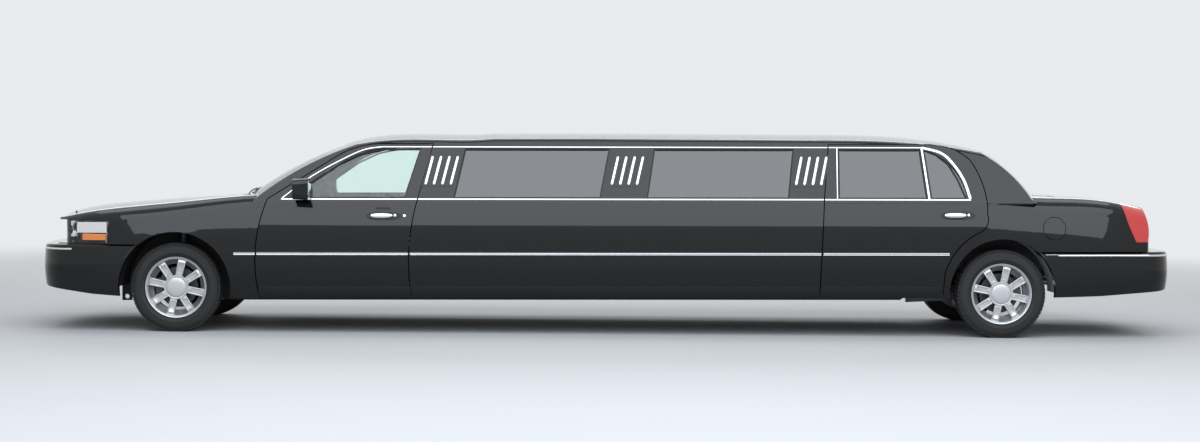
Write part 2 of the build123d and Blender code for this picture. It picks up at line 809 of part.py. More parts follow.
# Bumpers: a section carried along a plan path that wraps round the corners
def bumper_face(start, outward, low_z, top_z):
    """Bumper section square to the path at its start."""
    plane = Plane(origin=start, x_dir=(0, outward, 0), z_dir=(outward, 0, 0))
    mid_z = (low_z + top_z) / 2 + 30
    return outline(
        plane,
        (-34, low_z),
        ((0, mid_z), (-9, top_z - 10)),
        (-20, top_z),
        (-150, top_z),
        (-150, top_z - 22),
        (-70, top_z - 40),
        (-74, low_z),
    )


front_path_points = (
    (fx - 250.0, -977.0),
    (fx - 560.0, -974.0),
    (nose_x + 96.0, -886.0),
    (nose_x - 29.7, 0.0),
    (nose_x + 96.0, 886.0),
    (fx - 560.0, 974.0),
    (fx - 250.0, 977.0),
)
rear_path_points = (
    (rx + 240.0, 982.0),
    (rx + 600.0, 972.0),
    (tail_x - 58.0, 900.0),
    (tail_x + 10.3, 0.0),
    (tail_x - 58.0, -900.0),
    (rx + 600.0, -972.0),
    (rx + 240.0, -982.0),
)


def bumper(points, low_z, top_z, corner_radius, arch, arch_radius):
    """Bumper cover that wraps round to the wheel arches."""
    with BuildLine() as path:
        FilletPolyline(*points, radius=[900, corner_radius, 3000, corner_radius, 900])
    outward = -1 if points[0][1] < 0 else 1
    with BuildPart() as swept:
        add(bumper_face((points[0][0], points[0][1], 0), outward, low_z, top_z))
        sweep(path=path.line)
        with BuildSketch(Plane.XZ):
            with Locations(arch):
                Circle(arch_radius)
        extrude(amount=1200, both=True, mode=Mode.SUBTRACT)
    return swept.part


with BuildPart() as front_bumper:
    arch = (fx, tyre_radius)
    add(bumper(front_path_points, 250.0, bumper_top_z, 300.0, arch, front_arch_radius))
    extrude(
        outline(
            Plane.XZ,
            (nose_x - 50, 200),
            (fx - 250, 200),
            (fx - 250, 262),
            (fx - 620, 290),
            (nose_x + 130, 340),
            (nose_x - 50, 392),
        ),
        amount=1200, both=True, mode=Mode.SUBTRACT,
    )
finish(front_bumper.part, "front_bumper")

with BuildPart() as rear_bumper:
    arch = (rx, rear_arch_z)
    add(bumper(rear_path_points, 240.0, rear_bumper_top_z, 240.0, arch, rear_arch_radius))
    extrude(
        outline(
            Plane.XZ,
            (tail_x + 50, 200),
            (rx + 240, 200),
            (rx + 240, 262),
            (rx + 760, 276),
            (tail_x - 130, 312),
            (tail_x + 50, 345),
        ),
        amount=1200, both=True, mode=Mode.SUBTRACT,
    )
finish(rear_bumper.part, "rear_bumper")

# Nose between the bumper and the hood: lamps that wrap round the corners, and the grille
nose_line_x = fx - 905.0
support_x, support_half = fx - 738.0, 17.0
grille_half_width = 345.0
with BuildPart() as nose_block:
    with BuildSketch(Plane.XY.offset(bumper_top_z)):
        with BuildLine():
            outer = FilletPolyline(
                (fx - 440.0, 960.0),
                (fx - 600.0, 928.0),
                (nose_line_x + 60, 845.0),
                (nose_line_x - 22, 0.0),
                (nose_line_x + 60, -845.0),
                (fx - 600.0, -928.0),
                (fx - 440.0, -960.0),
                radius=[500, 150, 3000, 150, 500],
            )
            Polyline(
                outer @ 1,
                (fx - 440.0, -820.0),
                (nose_line_x + 150, -740.0),
                (nose_line_x + 150, 740.0),
                (fx - 440.0, 820.0),
                outer @ 0,
            )
        make_face()
    extrude(amount=250)
headlamp_face = outline(
    Plane.XZ,
    (nose_x, bumper_top_z + 14),
    (fx - 518.0, bumper_top_z + 14),
    (fx - 506.0, 836.0),
    (fx - 760.0, 846.0),
    (nose_x, 846.0),
)
headlamp_inner_y = grille_half_width + 70
with BuildPart() as headlamps:
    add(nose_block.part)
    extrude(headlamp_face, amount=1200, both=True, mode=Mode.INTERSECT)
    with BuildSketch(Plane.XY.offset(500)):
        with Locations((fx - 700, 0)):
            Rectangle(900, 2 * headlamp_inner_y)
    extrude(amount=600, mode=Mode.SUBTRACT)
    add(wings_kept.part, mode=Mode.SUBTRACT)
finish(headlamps.part, "headlamps")

# Grille: a bright surround with upright bars, seated on the radiator support
bar_count = 22
with BuildPart() as grille:
    with BuildSketch(Plane.YZ.offset(nose_line_x + 60)):
        with Locations((0, 768)):
            RectangleRounded(2 * grille_half_width, 196, 26)
            RectangleRounded(2 * grille_half_width - 52, 144, 12, mode=Mode.SUBTRACT)
    extrude(amount=-85)
    with BuildSketch(Plane.YZ.offset(nose_line_x + 40)):
        with Locations((0, 768)):
            with GridLocations((2 * grille_half_width - 52) / bar_count, 0, bar_count - 1, 1):
                Rectangle(9, 150)
            Rectangle(2 * grille_half_width - 40, 10)
    extrude(amount=-40)
    with BuildSketch(Plane.YZ.offset(nose_line_x + 50)):
        for hand in (-1, 1):
            with Locations((hand * (grille_half_width - 20), 768)):
                Rectangle(20, 120)
    extrude(amount=support_x - support_half - nose_line_x - 50)
finish(grille.part, "grille")

# Header panel: the painted nose round the lamps and the grille, with a ledge under the hood's front edge
header_depth, ledge_depth, ledge_z = 24.0, 75.0, 820.0
nose_tip = (-1000.0, (760, 440), (792, 660), (775, 790), (735, 832), 844, 874)


def nose_face(x, foot, bulge, shoulder, roll, seam_z, crown_z):
    """Whole cross section of the nose, from wing to wing over the hood."""
    seam = (hood_seam_y, seam_z)
    return outline(
        Plane.YZ.offset(x),
        (-foot[0], foot[1]),
        ((-bulge[0], bulge[1]), (-shoulder[0], shoulder[1])),
        ((-roll[0], roll[1]), (-seam[0], seam[1])),
        ((0, crown_z), seam),
        (roll, shoulder),
        (bulge, foot),
    )


with BuildPart() as nose_ledge:
    add(nose_block.part)
    add(Pos(ledge_depth, 0, 0) * nose_block.part, mode=Mode.SUBTRACT)
    with BuildSketch(Plane.XY.offset(ledge_z)):
        with Locations((fx - 850, 0)):
            Rectangle(300, 2400)
    extrude(amount=200, mode=Mode.INTERSECT)
with BuildPart() as header_panel:
    add(nose_block.part)
    add(Pos(header_depth, 0, 0) * nose_block.part, mode=Mode.SUBTRACT)
    add(nose_ledge.part)
    loft([nose_face(fx + row[0], *row[1:]) for row in (nose_tip, *wing_table[:3])], mode=Mode.INTERSECT)
    with BuildSketch(Plane.XY.offset(500)):
        with Locations((fx, 0)):
            Rectangle(2 * 700, 2400)
    extrude(amount=600, mode=Mode.SUBTRACT)
    with BuildSketch(Plane.XY.offset(500)):
        with Locations((fx - 700, 0)):
            Rectangle(1000, 2400)
    extrude(amount=bumper_top_z + fit_gap - 500, mode=Mode.SUBTRACT)
    add(beside(grown(headlamp_face, fit_gap), headlamp_inner_y - fit_gap), mode=Mode.SUBTRACT)
    with BuildSketch(Plane.YZ.offset(nose_line_x - 100)):
        with Locations((0, 768)):
            Rectangle(2 * (grille_half_width + fit_gap), 196 + 2 * fit_gap)
    extrude(amount=300, mode=Mode.SUBTRACT)
    for ahead in (0, panel_gap / 2, panel_gap + 4):
        for drop in (-panel_gap, 20):
            add(Pos(-ahead, 0, drop) * hood.part, mode=Mode.SUBTRACT)
    add(wings_kept.part, mode=Mode.SUBTRACT)
finish(header_panel.part.solids().sort_by(SortBy.VOLUME)[-1], "header_panel")

# Ladder frame: two side rails with raised ends, cross members, and a towing eye under each front end
hook_x, hook_y, hook_z = fx - 467.0, 400.0, 236.0
hook_radius, hook_thickness = 18.0, 20.0
kick_z = 470.0
frame_front_x, frame_rear_x = fx - 1040.0, rx + 1320.0
rail_side = outline(
    Plane.XZ,
    (frame_front_x, 330.0),
    (fx - 320, 330.0),
    (fx + 350, rail_bottom_z),
    (rx - 700, rail_bottom_z),
    (rx - 420, 400.0),
    (frame_rear_x, 400.0),
    (frame_rear_x, kick_z),
    (rx - 470, kick_z),
    (rx - 760, rail_top_z),
    (fx + 350, rail_top_z),
    (fx - 320, 440.0),
    (frame_front_x, 440.0),
)
# columns: x, bottom, top, half width along the car
cross_table = (
    (support_x, 340, 430, 40),
    (fx, 207, 245, 110),
    (fx + 950, 214, 242, 60),
    (fx + 1900, 214, 242, 60),
    ((fx + rx) / 2, 214, 242, 60),
    (rx - 1900, 214, 242, 60),
    (rx - 950, 214, 242, 60),
    (rx + 1120, 405, 465, 40),
)
with BuildPart() as ladder_frame:
    for hand in (-1, 1):
        with BuildSketch(Plane.XZ.offset(-hand * rail_inner_y)):
            add(rail_side)
        extrude(amount=-hand * (rail_outer_y - rail_inner_y))
    for x, low, high, half in cross_table:
        with BuildSketch(Plane.XY.offset(low)):
            with Locations((x, 0)):
                Rectangle(2 * half, 2 * rail_inner_y + 40)
        extrude(amount=high - low)
    with BuildSketch(Plane.XY.offset(207)):
        for hand in (-1, 1):
            with Locations((fx, hand * (rail_outer_y + rail_inner_y) / 2)):
                Rectangle(220, rail_outer_y - rail_inner_y)
    extrude(amount=138)
    for hand in (-1, 1):
        with BuildSketch(Plane.XZ.offset(-hand * (hook_y - hook_thickness / 2))):
            with Locations((hook_x, hook_z + 40)):
                Rectangle(76, 140)
            with Locations((hook_x, hook_z)):
                Circle(hook_radius, mode=Mode.SUBTRACT)
        extrude(amount=-hand * hook_thickness)
    add(front_bumper.part, mode=Mode.SUBTRACT)
    add(rear_bumper.part, mode=Mode.SUBTRACT)
# The frame is spliced behind the front kick and ahead of the rear one, with the long section between
front_splice_x, rear_splice_x = fx + 480.0, rx - 800.0
whole_frame = ladder_frame.part.solids().sort_by(SortBy.VOLUME)[-1]
frame_ends = (frame_front_x - 100, front_splice_x, rear_splice_x, frame_rear_x + 100)
for label, start, stop in zip(("frame_front", "frame_stretch", "frame_rear"), frame_ends, frame_ends[1:]):
    with BuildPart() as section:
        add(whole_frame)
        with BuildSketch(Plane.XY):
            with Locations(((start + stop) / 2, 0)):
                Rectangle(stop - start, 2 * (rail_outer_y + 100))
        extrude(amount=700, mode=Mode.INTERSECT)
    finish(section.part, label)

# Floor: cabin floor on the rails, raised over the rear axle and level through the boot
liner_radius = rear_arch_radius + 6
liner_thickness = 8.0
rear_liner_y = 652.0
floor_half = wall_inner_y - 6
floor_front_x = fx + 560.0
floor_band = outline(
    Plane.XZ,
    (floor_front_x, rail_top_z),
    (rx - 760, rail_top_z),
    (rx - 470, kick_z),
    (rx + 1150, kick_z),
    (rx + 1150, kick_z + floor_thickness),
    (rx - 475, kick_z + floor_thickness),
    (rx - 765, floor_z),
    (floor_front_x, floor_z),
)
tunnel_half, tunnel_z, tunnel_rear_x = 200.0, 540.0, fx + 1300.0
shelf_front_x, shelf_rear_x = rx - 30.0, back_low[0] - 130.0
with BuildPart() as floor_pan:
    with BuildSketch(Plane.XZ):
        add(floor_band)
    extrude(amount=rear_liner_y + 20, both=True)
    for hand in (-1, 1):
        with BuildSketch(Plane.XY.offset(rail_top_z)):
            with Locations(((floor_front_x + rx - 760) / 2, hand * (rear_liner_y + floor_half) / 2)):
                Rectangle(rx - 760 - floor_front_x, floor_half - rear_liner_y)
        extrude(amount=floor_thickness)
        with BuildSketch(Plane.XY.offset(sill_z)):
            with Locations(((floor_front_x + rx - 560) / 2, hand * (floor_half - 39))):
                Rectangle(rx - 560 - floor_front_x, 70)
            with Locations(((b_sill + c_sill) / 2, hand * (wall_inner_y - 20))):
                Rectangle(c_sill - b_sill - 40, 40)
        extrude(amount=floor_z - sill_z)
        with BuildSketch(Plane.XZ.offset(-hand * rear_liner_y)):
            with Locations((rx, rear_arch_z)):
                Circle(liner_radius + liner_thickness)
                Circle(liner_radius, mode=Mode.SUBTRACT)
            with Locations((rx, 300 + 500)):
                Rectangle(1000, 1000, mode=Mode.INTERSECT)
        extrude(amount=-hand * (975 - rear_liner_y))
        with BuildSketch(Plane.XZ.offset(-hand * rear_liner_y)):
            with Locations((rx, rear_arch_z)):
                Circle(liner_radius + liner_thickness)
            with Locations((rx, kick_z + 500)):
                Rectangle(1000, 1000, mode=Mode.INTERSECT)
        extrude(amount=-hand * liner_thickness)
        with BuildSketch(Plane.XY.offset(kick_z)):
            with Locations((rx + 735, hand * 740)):
                Rectangle(630, 180)
        extrude(amount=floor_thickness)
    with BuildSketch(Plane.XY.offset(kick_z)):
        with Locations((rx - 20, 0)):
            Rectangle(24, 2 * rear_liner_y + 16)
    extrude(amount=shoulder_z - kick_z)
    with BuildSketch(Plane.XY.offset(shoulder_z - 20)):
        with Locations(((shelf_front_x + shelf_rear_x) / 2, 0)):
            Rectangle(shelf_rear_x - shelf_front_x, 2 * 830)
    extrude(amount=20)
    with BuildSketch(Plane.XY.offset(kick_z)):
        with Locations((rx + 1160, 0)):
            Rectangle(20, 2 * 690)
    extrude(amount=rear_bumper_top_z - kick_z)
    with BuildSketch(Plane.XY.offset(rear_bumper_top_z)):
        with Locations((rx + 1205, 0)):
            Rectangle(110, 100)
    extrude(amount=lid_low_z - fit_gap - rear_bumper_top_z)
    with BuildSketch(Plane.YZ.offset(floor_front_x)):
        with Locations((0, (floor_z + tunnel_z) / 2)):
            Rectangle(2 * tunnel_half, tunnel_z - floor_z)
    extrude(amount=tunnel_rear_x - floor_front_x)
    with BuildSketch(Plane.YZ.offset(floor_front_x)):
        with Locations((0, (rail_top_z + tunnel_z - 20) / 2)):
            Rectangle(2 * tunnel_half - 30, tunnel_z - 20 - rail_top_z)
    extrude(amount=tunnel_rear_x - 15 - floor_front_x, mode=Mode.SUBTRACT)
    add(rear_quarters.part, mode=Mode.SUBTRACT)
    add(rear_bumper.part, mode=Mode.SUBTRACT)
finish(floor_pan.part.solids().sort_by(SortBy.VOLUME)[-1], "floor_pan")

# Engine bay: wheel houses, inner aprons, radiator support with the hood's two rests, firewall,
# and the hinge posts with two hinge blocks for each front door
front_liner_radius = front_arch_radius + 6
front_liner_y = 478.0
with BuildPart() as engine_bay:
    for hand in (-1, 1):
        with BuildSketch(Plane.XZ.offset(-hand * front_liner_y)):
            with Locations((fx, tyre_radius)):
                Circle(front_liner_radius + liner_thickness)
                Circle(front_liner_radius, mode=Mode.SUBTRACT)
            with Locations((fx, 345 + 500)):
                Rectangle(1000, 1000, mode=Mode.INTERSECT)
        extrude(amount=-hand * (975 - front_liner_y))
        with BuildSketch(Plane.XZ.offset(-hand * front_liner_y)):
            with Locations((fx, tyre_radius)):
                Circle(front_liner_radius + liner_thickness)
            with Locations((fx, 560 + 500)):
                Rectangle(1000, 1000, mode=Mode.INTERSECT)
        extrude(amount=-hand * liner_thickness)
        with BuildSketch(Plane.XY.offset(345)):
            with Locations(((support_x + floor_front_x) / 2, hand * (rail_outer_y + 6))):
                Rectangle(floor_front_x - support_x, 12)
            with Locations((fx + 520, hand * 890)):
                Rectangle(100, 70)
        extrude(amount=480)
        for hinge_z in (360, 720):
            with BuildSketch(Plane.XY.offset(hinge_z)):
                with Locations((fx + 620, hand * 885)):
                    Rectangle(120, 50)
            extrude(amount=70)
        with BuildSketch(Plane.XY.offset(830)):
            with Locations((support_x, hand * 560)):
                Circle(14)
        extrude(amount=150)
        with BuildSketch(Plane.XY.offset(560)):
            with Locations((fx - 10, hand * (rail_outer_y + front_liner_y) / 2)):
                Rectangle(700, front_liner_y - rail_outer_y + 4)
        extrude(amount=12)
    with BuildSketch(Plane.XY.offset(440)):
        with Locations((support_x, 0)):
            Rectangle(2 * support_half, 2 * 690)
    extrude(amount=400)
    with BuildSketch(Plane.XY.offset(rail_top_z + 3)):
        with Locations((floor_front_x - 12, 0)):
            Rectangle(24, 2 * 900)
    extrude(amount=belt_z - 60 - rail_top_z - 3)
    with BuildSketch(Plane.YZ.offset(floor_front_x - 40)):
        with Locations((0, (rail_top_z + tunnel_z - 20) / 2)):
            Rectangle(2 * tunnel_half - 30, tunnel_z - 20 - rail_top_z)
    extrude(amount=80, mode=Mode.SUBTRACT)
    extrude(grown(front_door_face, fit_gap - door_step), amount=1200, both=True, mode=Mode.SUBTRACT)
    add(Pos(0, 0, -fit_gap) * hood.part, mode=Mode.SUBTRACT)
    add(wings_kept.part, mode=Mode.SUBTRACT)
    add(front_bumper.part, mode=Mode.SUBTRACT)
finish(engine_bay.part.solids().sort_by(SortBy.VOLUME)[-1], "engine_bay")

# Engine and driveline
engine_length, engine_half_width, engine_low_z, engine_high_z = 720.0, 300.0, 245.0, 870.0
engine_rear_x = fx + 330.0
with BuildPart() as engine_block:
    with BuildSketch(Plane.XY.offset(engine_low_z)):
        with Locations((engine_rear_x - engine_length / 2, 0)):
            Rectangle(engine_length, 2 * engine_half_width)
    extrude(amount=engine_high_z - engine_low_z)
finish(engine_block.part, "engine_block")

shaft_z, shaft_radius = 292.0, 36.0
gearbox_length = 700.0
with BuildPart() as driveline:
    with BuildSketch(Plane.YZ.offset(engine_rear_x)):
        with Locations((0, 362)):
            RectangleRounded(330, 220, 60)
    with BuildSketch(Plane.YZ.offset(engine_rear_x + gearbox_length)):
        with Locations((0, shaft_z + 14)):
            RectangleRounded(130, 116, 30)
    loft()
    with BuildSketch(Plane.YZ.offset(engine_rear_x + gearbox_length)):
        with Locations((0, shaft_z)):
            Circle(shaft_radius)
    extrude(amount=rx - 190 - engine_rear_x - gearbox_length)
    for x in (fx + 1900, (fx + rx) / 2, rx - 1900):
        with BuildSketch(Plane.YZ.offset(x - 30)):
            with Locations((0, shaft_z)):
                Circle(shaft_radius + 12)
            with Locations((0, (242 + shaft_z) / 2)):
                Rectangle(60, shaft_z - 242)
        extrude(amount=60)
finish(driveline.part, "driveline")

# Exhaust: two pipes between the rails, over the axle to a silencer each
pipe_radius, pipe_y = 27.0, 250.0
pipe_low_z, pipe_high_z, pipe_end_z = 285.0, 425.0, 345.0
with BuildPart() as exhaust:
    for hand in (-1, 1):
        with BuildLine(mode=Mode.PRIVATE) as route:
            FilletPolyline(
                (engine_rear_x, hand * pipe_y, 330),
                (engine_rear_x + 420, hand * pipe_y, pipe_low_z),
                (rx - 790, hand * pipe_y, pipe_low_z),
                (rx - 440, hand * pipe_y, pipe_high_z),
                (rx + 250, hand * pipe_y, pipe_high_z),
                (rx + 500, hand * pipe_y, pipe_end_z),
                (rx + 1255, hand * pipe_y, pipe_end_z),
                radius=160,
            )
        with BuildSketch(Plane(origin=route.line @ 0, z_dir=(1, 0, 0))):
            Circle(pipe_radius)
        sweep(path=route.line)
        with BuildSketch(Plane.YZ.offset(rx + 560)):
            with Locations((hand * pipe_y, pipe_end_z + 20)):
                Ellipse(95, 72)
        extrude(amount=400)
finish(exhaust.part, "exhaust")

with BuildPart() as fuel_tank:
    with BuildSketch(Plane.XZ.offset(-430)):
        with Locations((rx + 190, kick_z + floor_thickness + 190)):
            RectangleRounded(300, 380, 50)
    extrude(amount=860)
finish(fuel_tank.part, "fuel_tank")

# Front suspension: lower and upper arms, each with its ball boss on the kingpin line, and a strut
knuckle_low_z, knuckle_high_z = 206.0, 462.0
strut_top_z = tyre_radius + front_liner_radius - 2
boss_radius = 30.0
with BuildPart() as front_suspension:
    for hand in (-1, 1):
        # columns: arm's bottom, thickness, half width at the frame, inner end
        for low_z, thick, half, inner_y in (
            (knuckle_low_z - fit_gap - 26, 26, 165, rail_outer_y - 60),
            (knuckle_high_z + fit_gap, 22, 120, rail_outer_y + 12 + fit_gap),
        ):
            with BuildSketch(Plane.XY.offset(low_z)):
                with BuildLine():
                    Polyline(
                        (fx - half, hand * inner_y),
                        (fx + half, hand * inner_y),
                        (fx + 28, hand * kingpin_y),
                        (fx - 28, hand * kingpin_y),
                        close=True,
                    )
                make_face()
                with Locations((fx, hand * kingpin_y)):
                    Circle(boss_radius)
                with Locations((fx, hand * (inner_y + 95))):
                    Circle(42, mode=Mode.SUBTRACT)
            extrude(amount=thick)
        with BuildSketch(Plane.XY.offset(knuckle_low_z - 20)):
            with Locations((fx, hand * 560)):
                Circle(34)
        extrude(amount=strut_top_z - knuckle_low_z + 20)
finish(front_suspension.part, "front_suspension", sprung=False)

# Knuckles: upright on the kingpin line, stub axle, steering arm and brake caliper
for side, hand in sides:
    wheel_y = track_front / 2
    with BuildPart() as knuckle:
        with BuildSketch(Plane.XY.offset(knuckle_low_z)):
            with Locations((fx, hand * kingpin_y)):
                Circle(25)
        extrude(amount=knuckle_high_z - knuckle_low_z)
        with BuildSketch(Plane.XZ.offset(-hand * (kingpin_y - 20))):
            with Locations((fx, tyre_radius)):
                Circle(52)
        extrude(amount=-hand * 40)
        with BuildSketch(Plane.XY.offset(tyre_radius - 70)):
            with BuildLine():
                Polyline(
                    (fx - 20, hand * (kingpin_y - 12)),
                    (fx + 125, hand * (kingpin_y - 34)),
                    (fx + 125, hand * (kingpin_y - 6)),
                    (fx - 20, hand * (kingpin_y + 18)),
                    close=True,
                )
            make_face()
        extrude(amount=20)
        caliper_y = wheel_y - 25
        caliper_half = disc_thickness / 2 + 22
        with BuildSketch(Plane.XZ.offset(-hand * (caliper_y - caliper_half))):
            with Locations((fx, tyre_radius)):
                Circle(disc_radius + 16)
                Circle(92, mode=Mode.SUBTRACT)
            with Locations((fx - 120, tyre_radius - 10)):
                Rectangle(140, 150, mode=Mode.INTERSECT)
        extrude(amount=-hand * 2 * caliper_half)
        with BuildSketch(Plane.XZ.offset(-hand * (caliper_y - disc_thickness / 2 - 6))):
            with Locations((fx, tyre_radius)):
                Circle(disc_radius + 6)
        extrude(amount=-hand * (disc_thickness + 12), mode=Mode.SUBTRACT)
        with BuildSketch(Plane.XZ.offset(-hand * (kingpin_y - 12))):
            with Locations((fx - 62, tyre_radius - 8)):
                Rectangle(100, 50)
        extrude(amount=-hand * 24)
        with BuildSketch(Plane.XZ.offset(-hand * kingpin_y)):
            with Locations((fx, tyre_radius)):
                Circle(30)
        extrude(amount=-hand * (wheel_y + 20 - kingpin_y))
    finish(knuckle.part, f"knuckle_{side}", sprung=False)

# Wheels and tyres
tyre_half = tyre_width / 2
rim_half = rim_width / 2
# columns: place along the car, distance of the wheel's middle plane from the centre line, bore
wheel_places = {
    "front": (fx, track_front / 2, 30 + fit_gap),
    "rear": (rx, track_rear / 2, 30 + fit_gap),
}
for end, (wheel_x, wheel_y, bore) in wheel_places.items():
    for side, hand in sides:
        hub = (wheel_x, hand * wheel_y, tyre_radius)
        half_plane = Plane(origin=hub, x_dir=(1, 0, 0), z_dir=(0, 0, hand))
        face_plane = Plane(origin=hub, x_dir=(1, 0, 0), z_dir=(0, hand, 0))
        spin = Axis(hub, (0, 1, 0))
        with BuildPart() as tyre:
            with BuildSketch(half_plane):
                with BuildLine():
                    Polyline(
                        (bead_radius + fit_gap, -rim_half + 14),
                        (flange_radius + 3, -rim_half + 9),
                        (tyre_radius - 58, -tyre_half),
                        (tyre_radius - 7, -tyre_half + 26),
                        (tyre_radius, -tyre_half + 46),
                        (tyre_radius, tyre_half - 46),
                        (tyre_radius - 7, tyre_half - 26),
                        (tyre_radius - 58, tyre_half),
                        (flange_radius + 3, rim_half - 9),
                        (bead_radius + fit_gap, rim_half - 14),
                        close=True,
                    )
                make_face()
            revolve(axis=spin)
        finish(tyre.part, f"tyre_{end}_{side}", sprung=False)
        with BuildPart() as wheel:
            with BuildSketch(half_plane):
                with BuildLine():
                    Polyline(
                        (bead_radius, rim_half - 8.3),
                        (flange_radius, rim_half - 6),
                        (flange_radius, rim_half),
                        (flange_radius - 8, rim_half),
                        (207, rim_half - 22),
                        (200, 56),
                        (178, 34),
                        (178, -8),
                        (204, -44),
                        (204, -rim_half + 14),
                        (flange_radius - 8, -rim_half),
                        (flange_radius, -rim_half),
                        (flange_radius, -rim_half + 6),
                        (bead_radius, -rim_half + 8.3),
                        (bead_radius, -50),
                        (188, -14),
                        (188, 30),
                        (bead_radius, 56),
                        close=True,
                    )
                make_face()
                with BuildLine():
                    Polyline(
                        (bore, -38),
                        (disc_radius, -38),
                        (disc_radius, -38 + disc_thickness),
                        (84, -38 + disc_thickness),
                        (84, 60),
                        (100, 60),
                        (100, 82),
                        (cap_radius, 82),
                        (cap_radius - 6, 90),
                        (30, 94),
                        (0, 94),
                        (0, 30),
                        (bore, 30),
                        close=True,
                    )
                make_face()
            revolve(axis=spin)
            with BuildSketch(face_plane.offset(60)):
                with PolarLocations(0, spoke_count):
                    with Locations((151.5, 0)):
                        Rectangle(123, spoke_width)
            extrude(amount=20)
            with BuildSketch(face_plane.offset(75)):
                with PolarLocations(0, spoke_count):
                    with Locations((153, 0)):
                        Rectangle(88, spoke_width - 26)
            extrude(amount=10, mode=Mode.SUBTRACT)
        finish(wheel.part, f"wheel_{end}_{side}", sprung=False)

# Rear axle: tubes, final drive, calipers, control arms and the springs up to the rails
spring_top_z = 400 + wheelbase * sin(radians(rake)) - 1
with BuildPart() as rear_axle:
    with BuildSketch(Plane.XZ.offset(-track_rear / 2 - 20)):
        with Locations((rx, tyre_radius)):
            Circle(30)
    extrude(amount=track_rear + 40)
    with BuildSketch(Plane.XZ.offset(-track_rear / 2 + 55)):
        with Locations((rx, tyre_radius)):
            Circle(42)
    extrude(amount=track_rear - 110)
    with BuildSketch(Plane(origin=(rx, 0, tyre_radius), x_dir=(1, 0, 0), z_dir=(0, 0, 1))):
        with BuildLine():
            Polyline((0, -160), (70, -130), (125, -60), (125, 60), (70, 130), (0, 160), close=True)
        make_face()
    revolve(axis=Axis((rx, 0, tyre_radius), (0, 1, 0)))
    with BuildSketch(Plane.YZ.offset(rx - 188)):
        with Locations((0, tyre_radius)):
            Circle(46)
    extrude(amount=120)
    for hand in (-1, 1):
        with BuildSketch(Plane.XZ.offset(-hand * (track_rear / 2 - 60))):
            with Locations((rx, tyre_radius)):
                Circle(disc_radius + 16)
                Circle(92, mode=Mode.SUBTRACT)
            with Locations((rx + 90, tyre_radius)):
                Rectangle(180, 110, mode=Mode.INTERSECT)
        extrude(amount=-hand * 70)
        with BuildSketch(Plane.XZ.offset(-hand * (track_rear / 2 - 60))):
            with Locations((rx + 70, tyre_radius)):
                Rectangle(140, 80)
        extrude(amount=-hand * 14)
        with BuildSketch(Plane.XZ.offset(-hand * (track_rear / 2 - 44))):
            with Locations((rx, tyre_radius)):
                Circle(disc_radius + 6)
        extrude(amount=-hand * 38, mode=Mode.SUBTRACT)
        with BuildSketch(Plane.XZ.offset(-hand * (track_rear / 2 - 60))):
            with Locations((rx, tyre_radius)):
                Circle(30)
        extrude(amount=-hand * 80)
        with BuildSketch(Plane.XZ.offset(-hand * 380)):
            with BuildLine():
                Polyline(
                    (rx - 650, tyre_radius - 103),
                    (rx - 650, tyre_radius - 52),
                    (rx + 30, tyre_radius - 20),
                    (rx + 30, tyre_radius - 70),
                    close=True,
                )
            make_face()
        extrude(amount=-hand * 40)
        with BuildSketch(Plane.XY.offset(tyre_radius)):
            with Locations((rx, hand * 400)):
                Circle(38)
        extrude(amount=spring_top_z - tyre_radius)
finish(rear_axle.part, "rear_axle", sprung=False)

# Cabin: dashboard with its column, seats, and the partition behind the driver
dash_x = fx + 760.0
cabin_half = 800.0
column_tilt = 24.0
wheel_centre = (fx + 1190.0, -400.0, 955.0)
with BuildPart() as dashboard:
    with BuildSketch(Plane.XZ.offset(-cabin_half)):
        with BuildLine():
            Polyline(
                (floor_front_x, belt_z - 70),
                (dash_x - 120, belt_z - 66),
                (dash_x - 40, belt_z - 15),
                (dash_x + 150, belt_z - 40),
                (dash_x + 190, belt_z - 110),
                (dash_x + 150, belt_z - 320),
                (dash_x - 40, belt_z - 430),
                (floor_front_x, belt_z - 430),
                close=True,
            )
        make_face()
    extrude(amount=2 * cabin_half)
    tilt = radians(column_tilt)
    column_start = (wheel_centre[0] - 420 * cos(tilt), wheel_centre[1], wheel_centre[2] - 420 * sin(tilt))
    with BuildSketch(Plane(origin=column_start, x_dir=(0, 1, 0), z_dir=(cos(tilt), 0, sin(tilt)))):
        Circle(32)
    extrude(amount=350)
finish(dashboard.part, "dashboard")

with BuildPart() as steering_wheel:
    ring_plane = Plane(origin=wheel_centre, x_dir=(0, 1, 0), z_dir=(cos(tilt), 0, sin(tilt)))
    with BuildSketch(Plane(origin=wheel_centre, x_dir=(0, 1, 0), z_dir=ring_plane.y_dir)):
        with Locations((180, 0)):
            Circle(14)
    revolve(axis=Axis(wheel_centre, (cos(tilt), 0, sin(tilt))))
    with BuildSketch(ring_plane.offset(-34)):
        Circle(48)
    extrude(amount=26)
    with BuildSketch(ring_plane.offset(-69.7)):
        Circle(20)
    extrude(amount=40)
    with BuildSketch(ring_plane.offset(-14)):
        Rectangle(350, 30)
        with Locations((0, -88)):
            Rectangle(30, 176)
    extrude(amount=10)
finish(steering_wheel.part, "steering_wheel")

seat_face = outline(
    Plane.XZ,
    (0.0, 0.0),
    (-60.0, 190.0),
    (-20.0, 320.0),
    (430.0, 290.0),
    (560.0, 860.0),
    (660.0, 860.0),
    (600.0, 260.0),
    (540.0, 0.0),
)
front_seat_x = fx + 1360.0
with BuildPart() as front_seats:
    for hand in (-1, 1):
        with BuildSketch(Plane.XZ.offset(-hand * 225)):
            add(Pos(front_seat_x, 0, floor_z) * seat_face)
        extrude(amount=-hand * 520)
finish(front_seats.part, "front_seats")

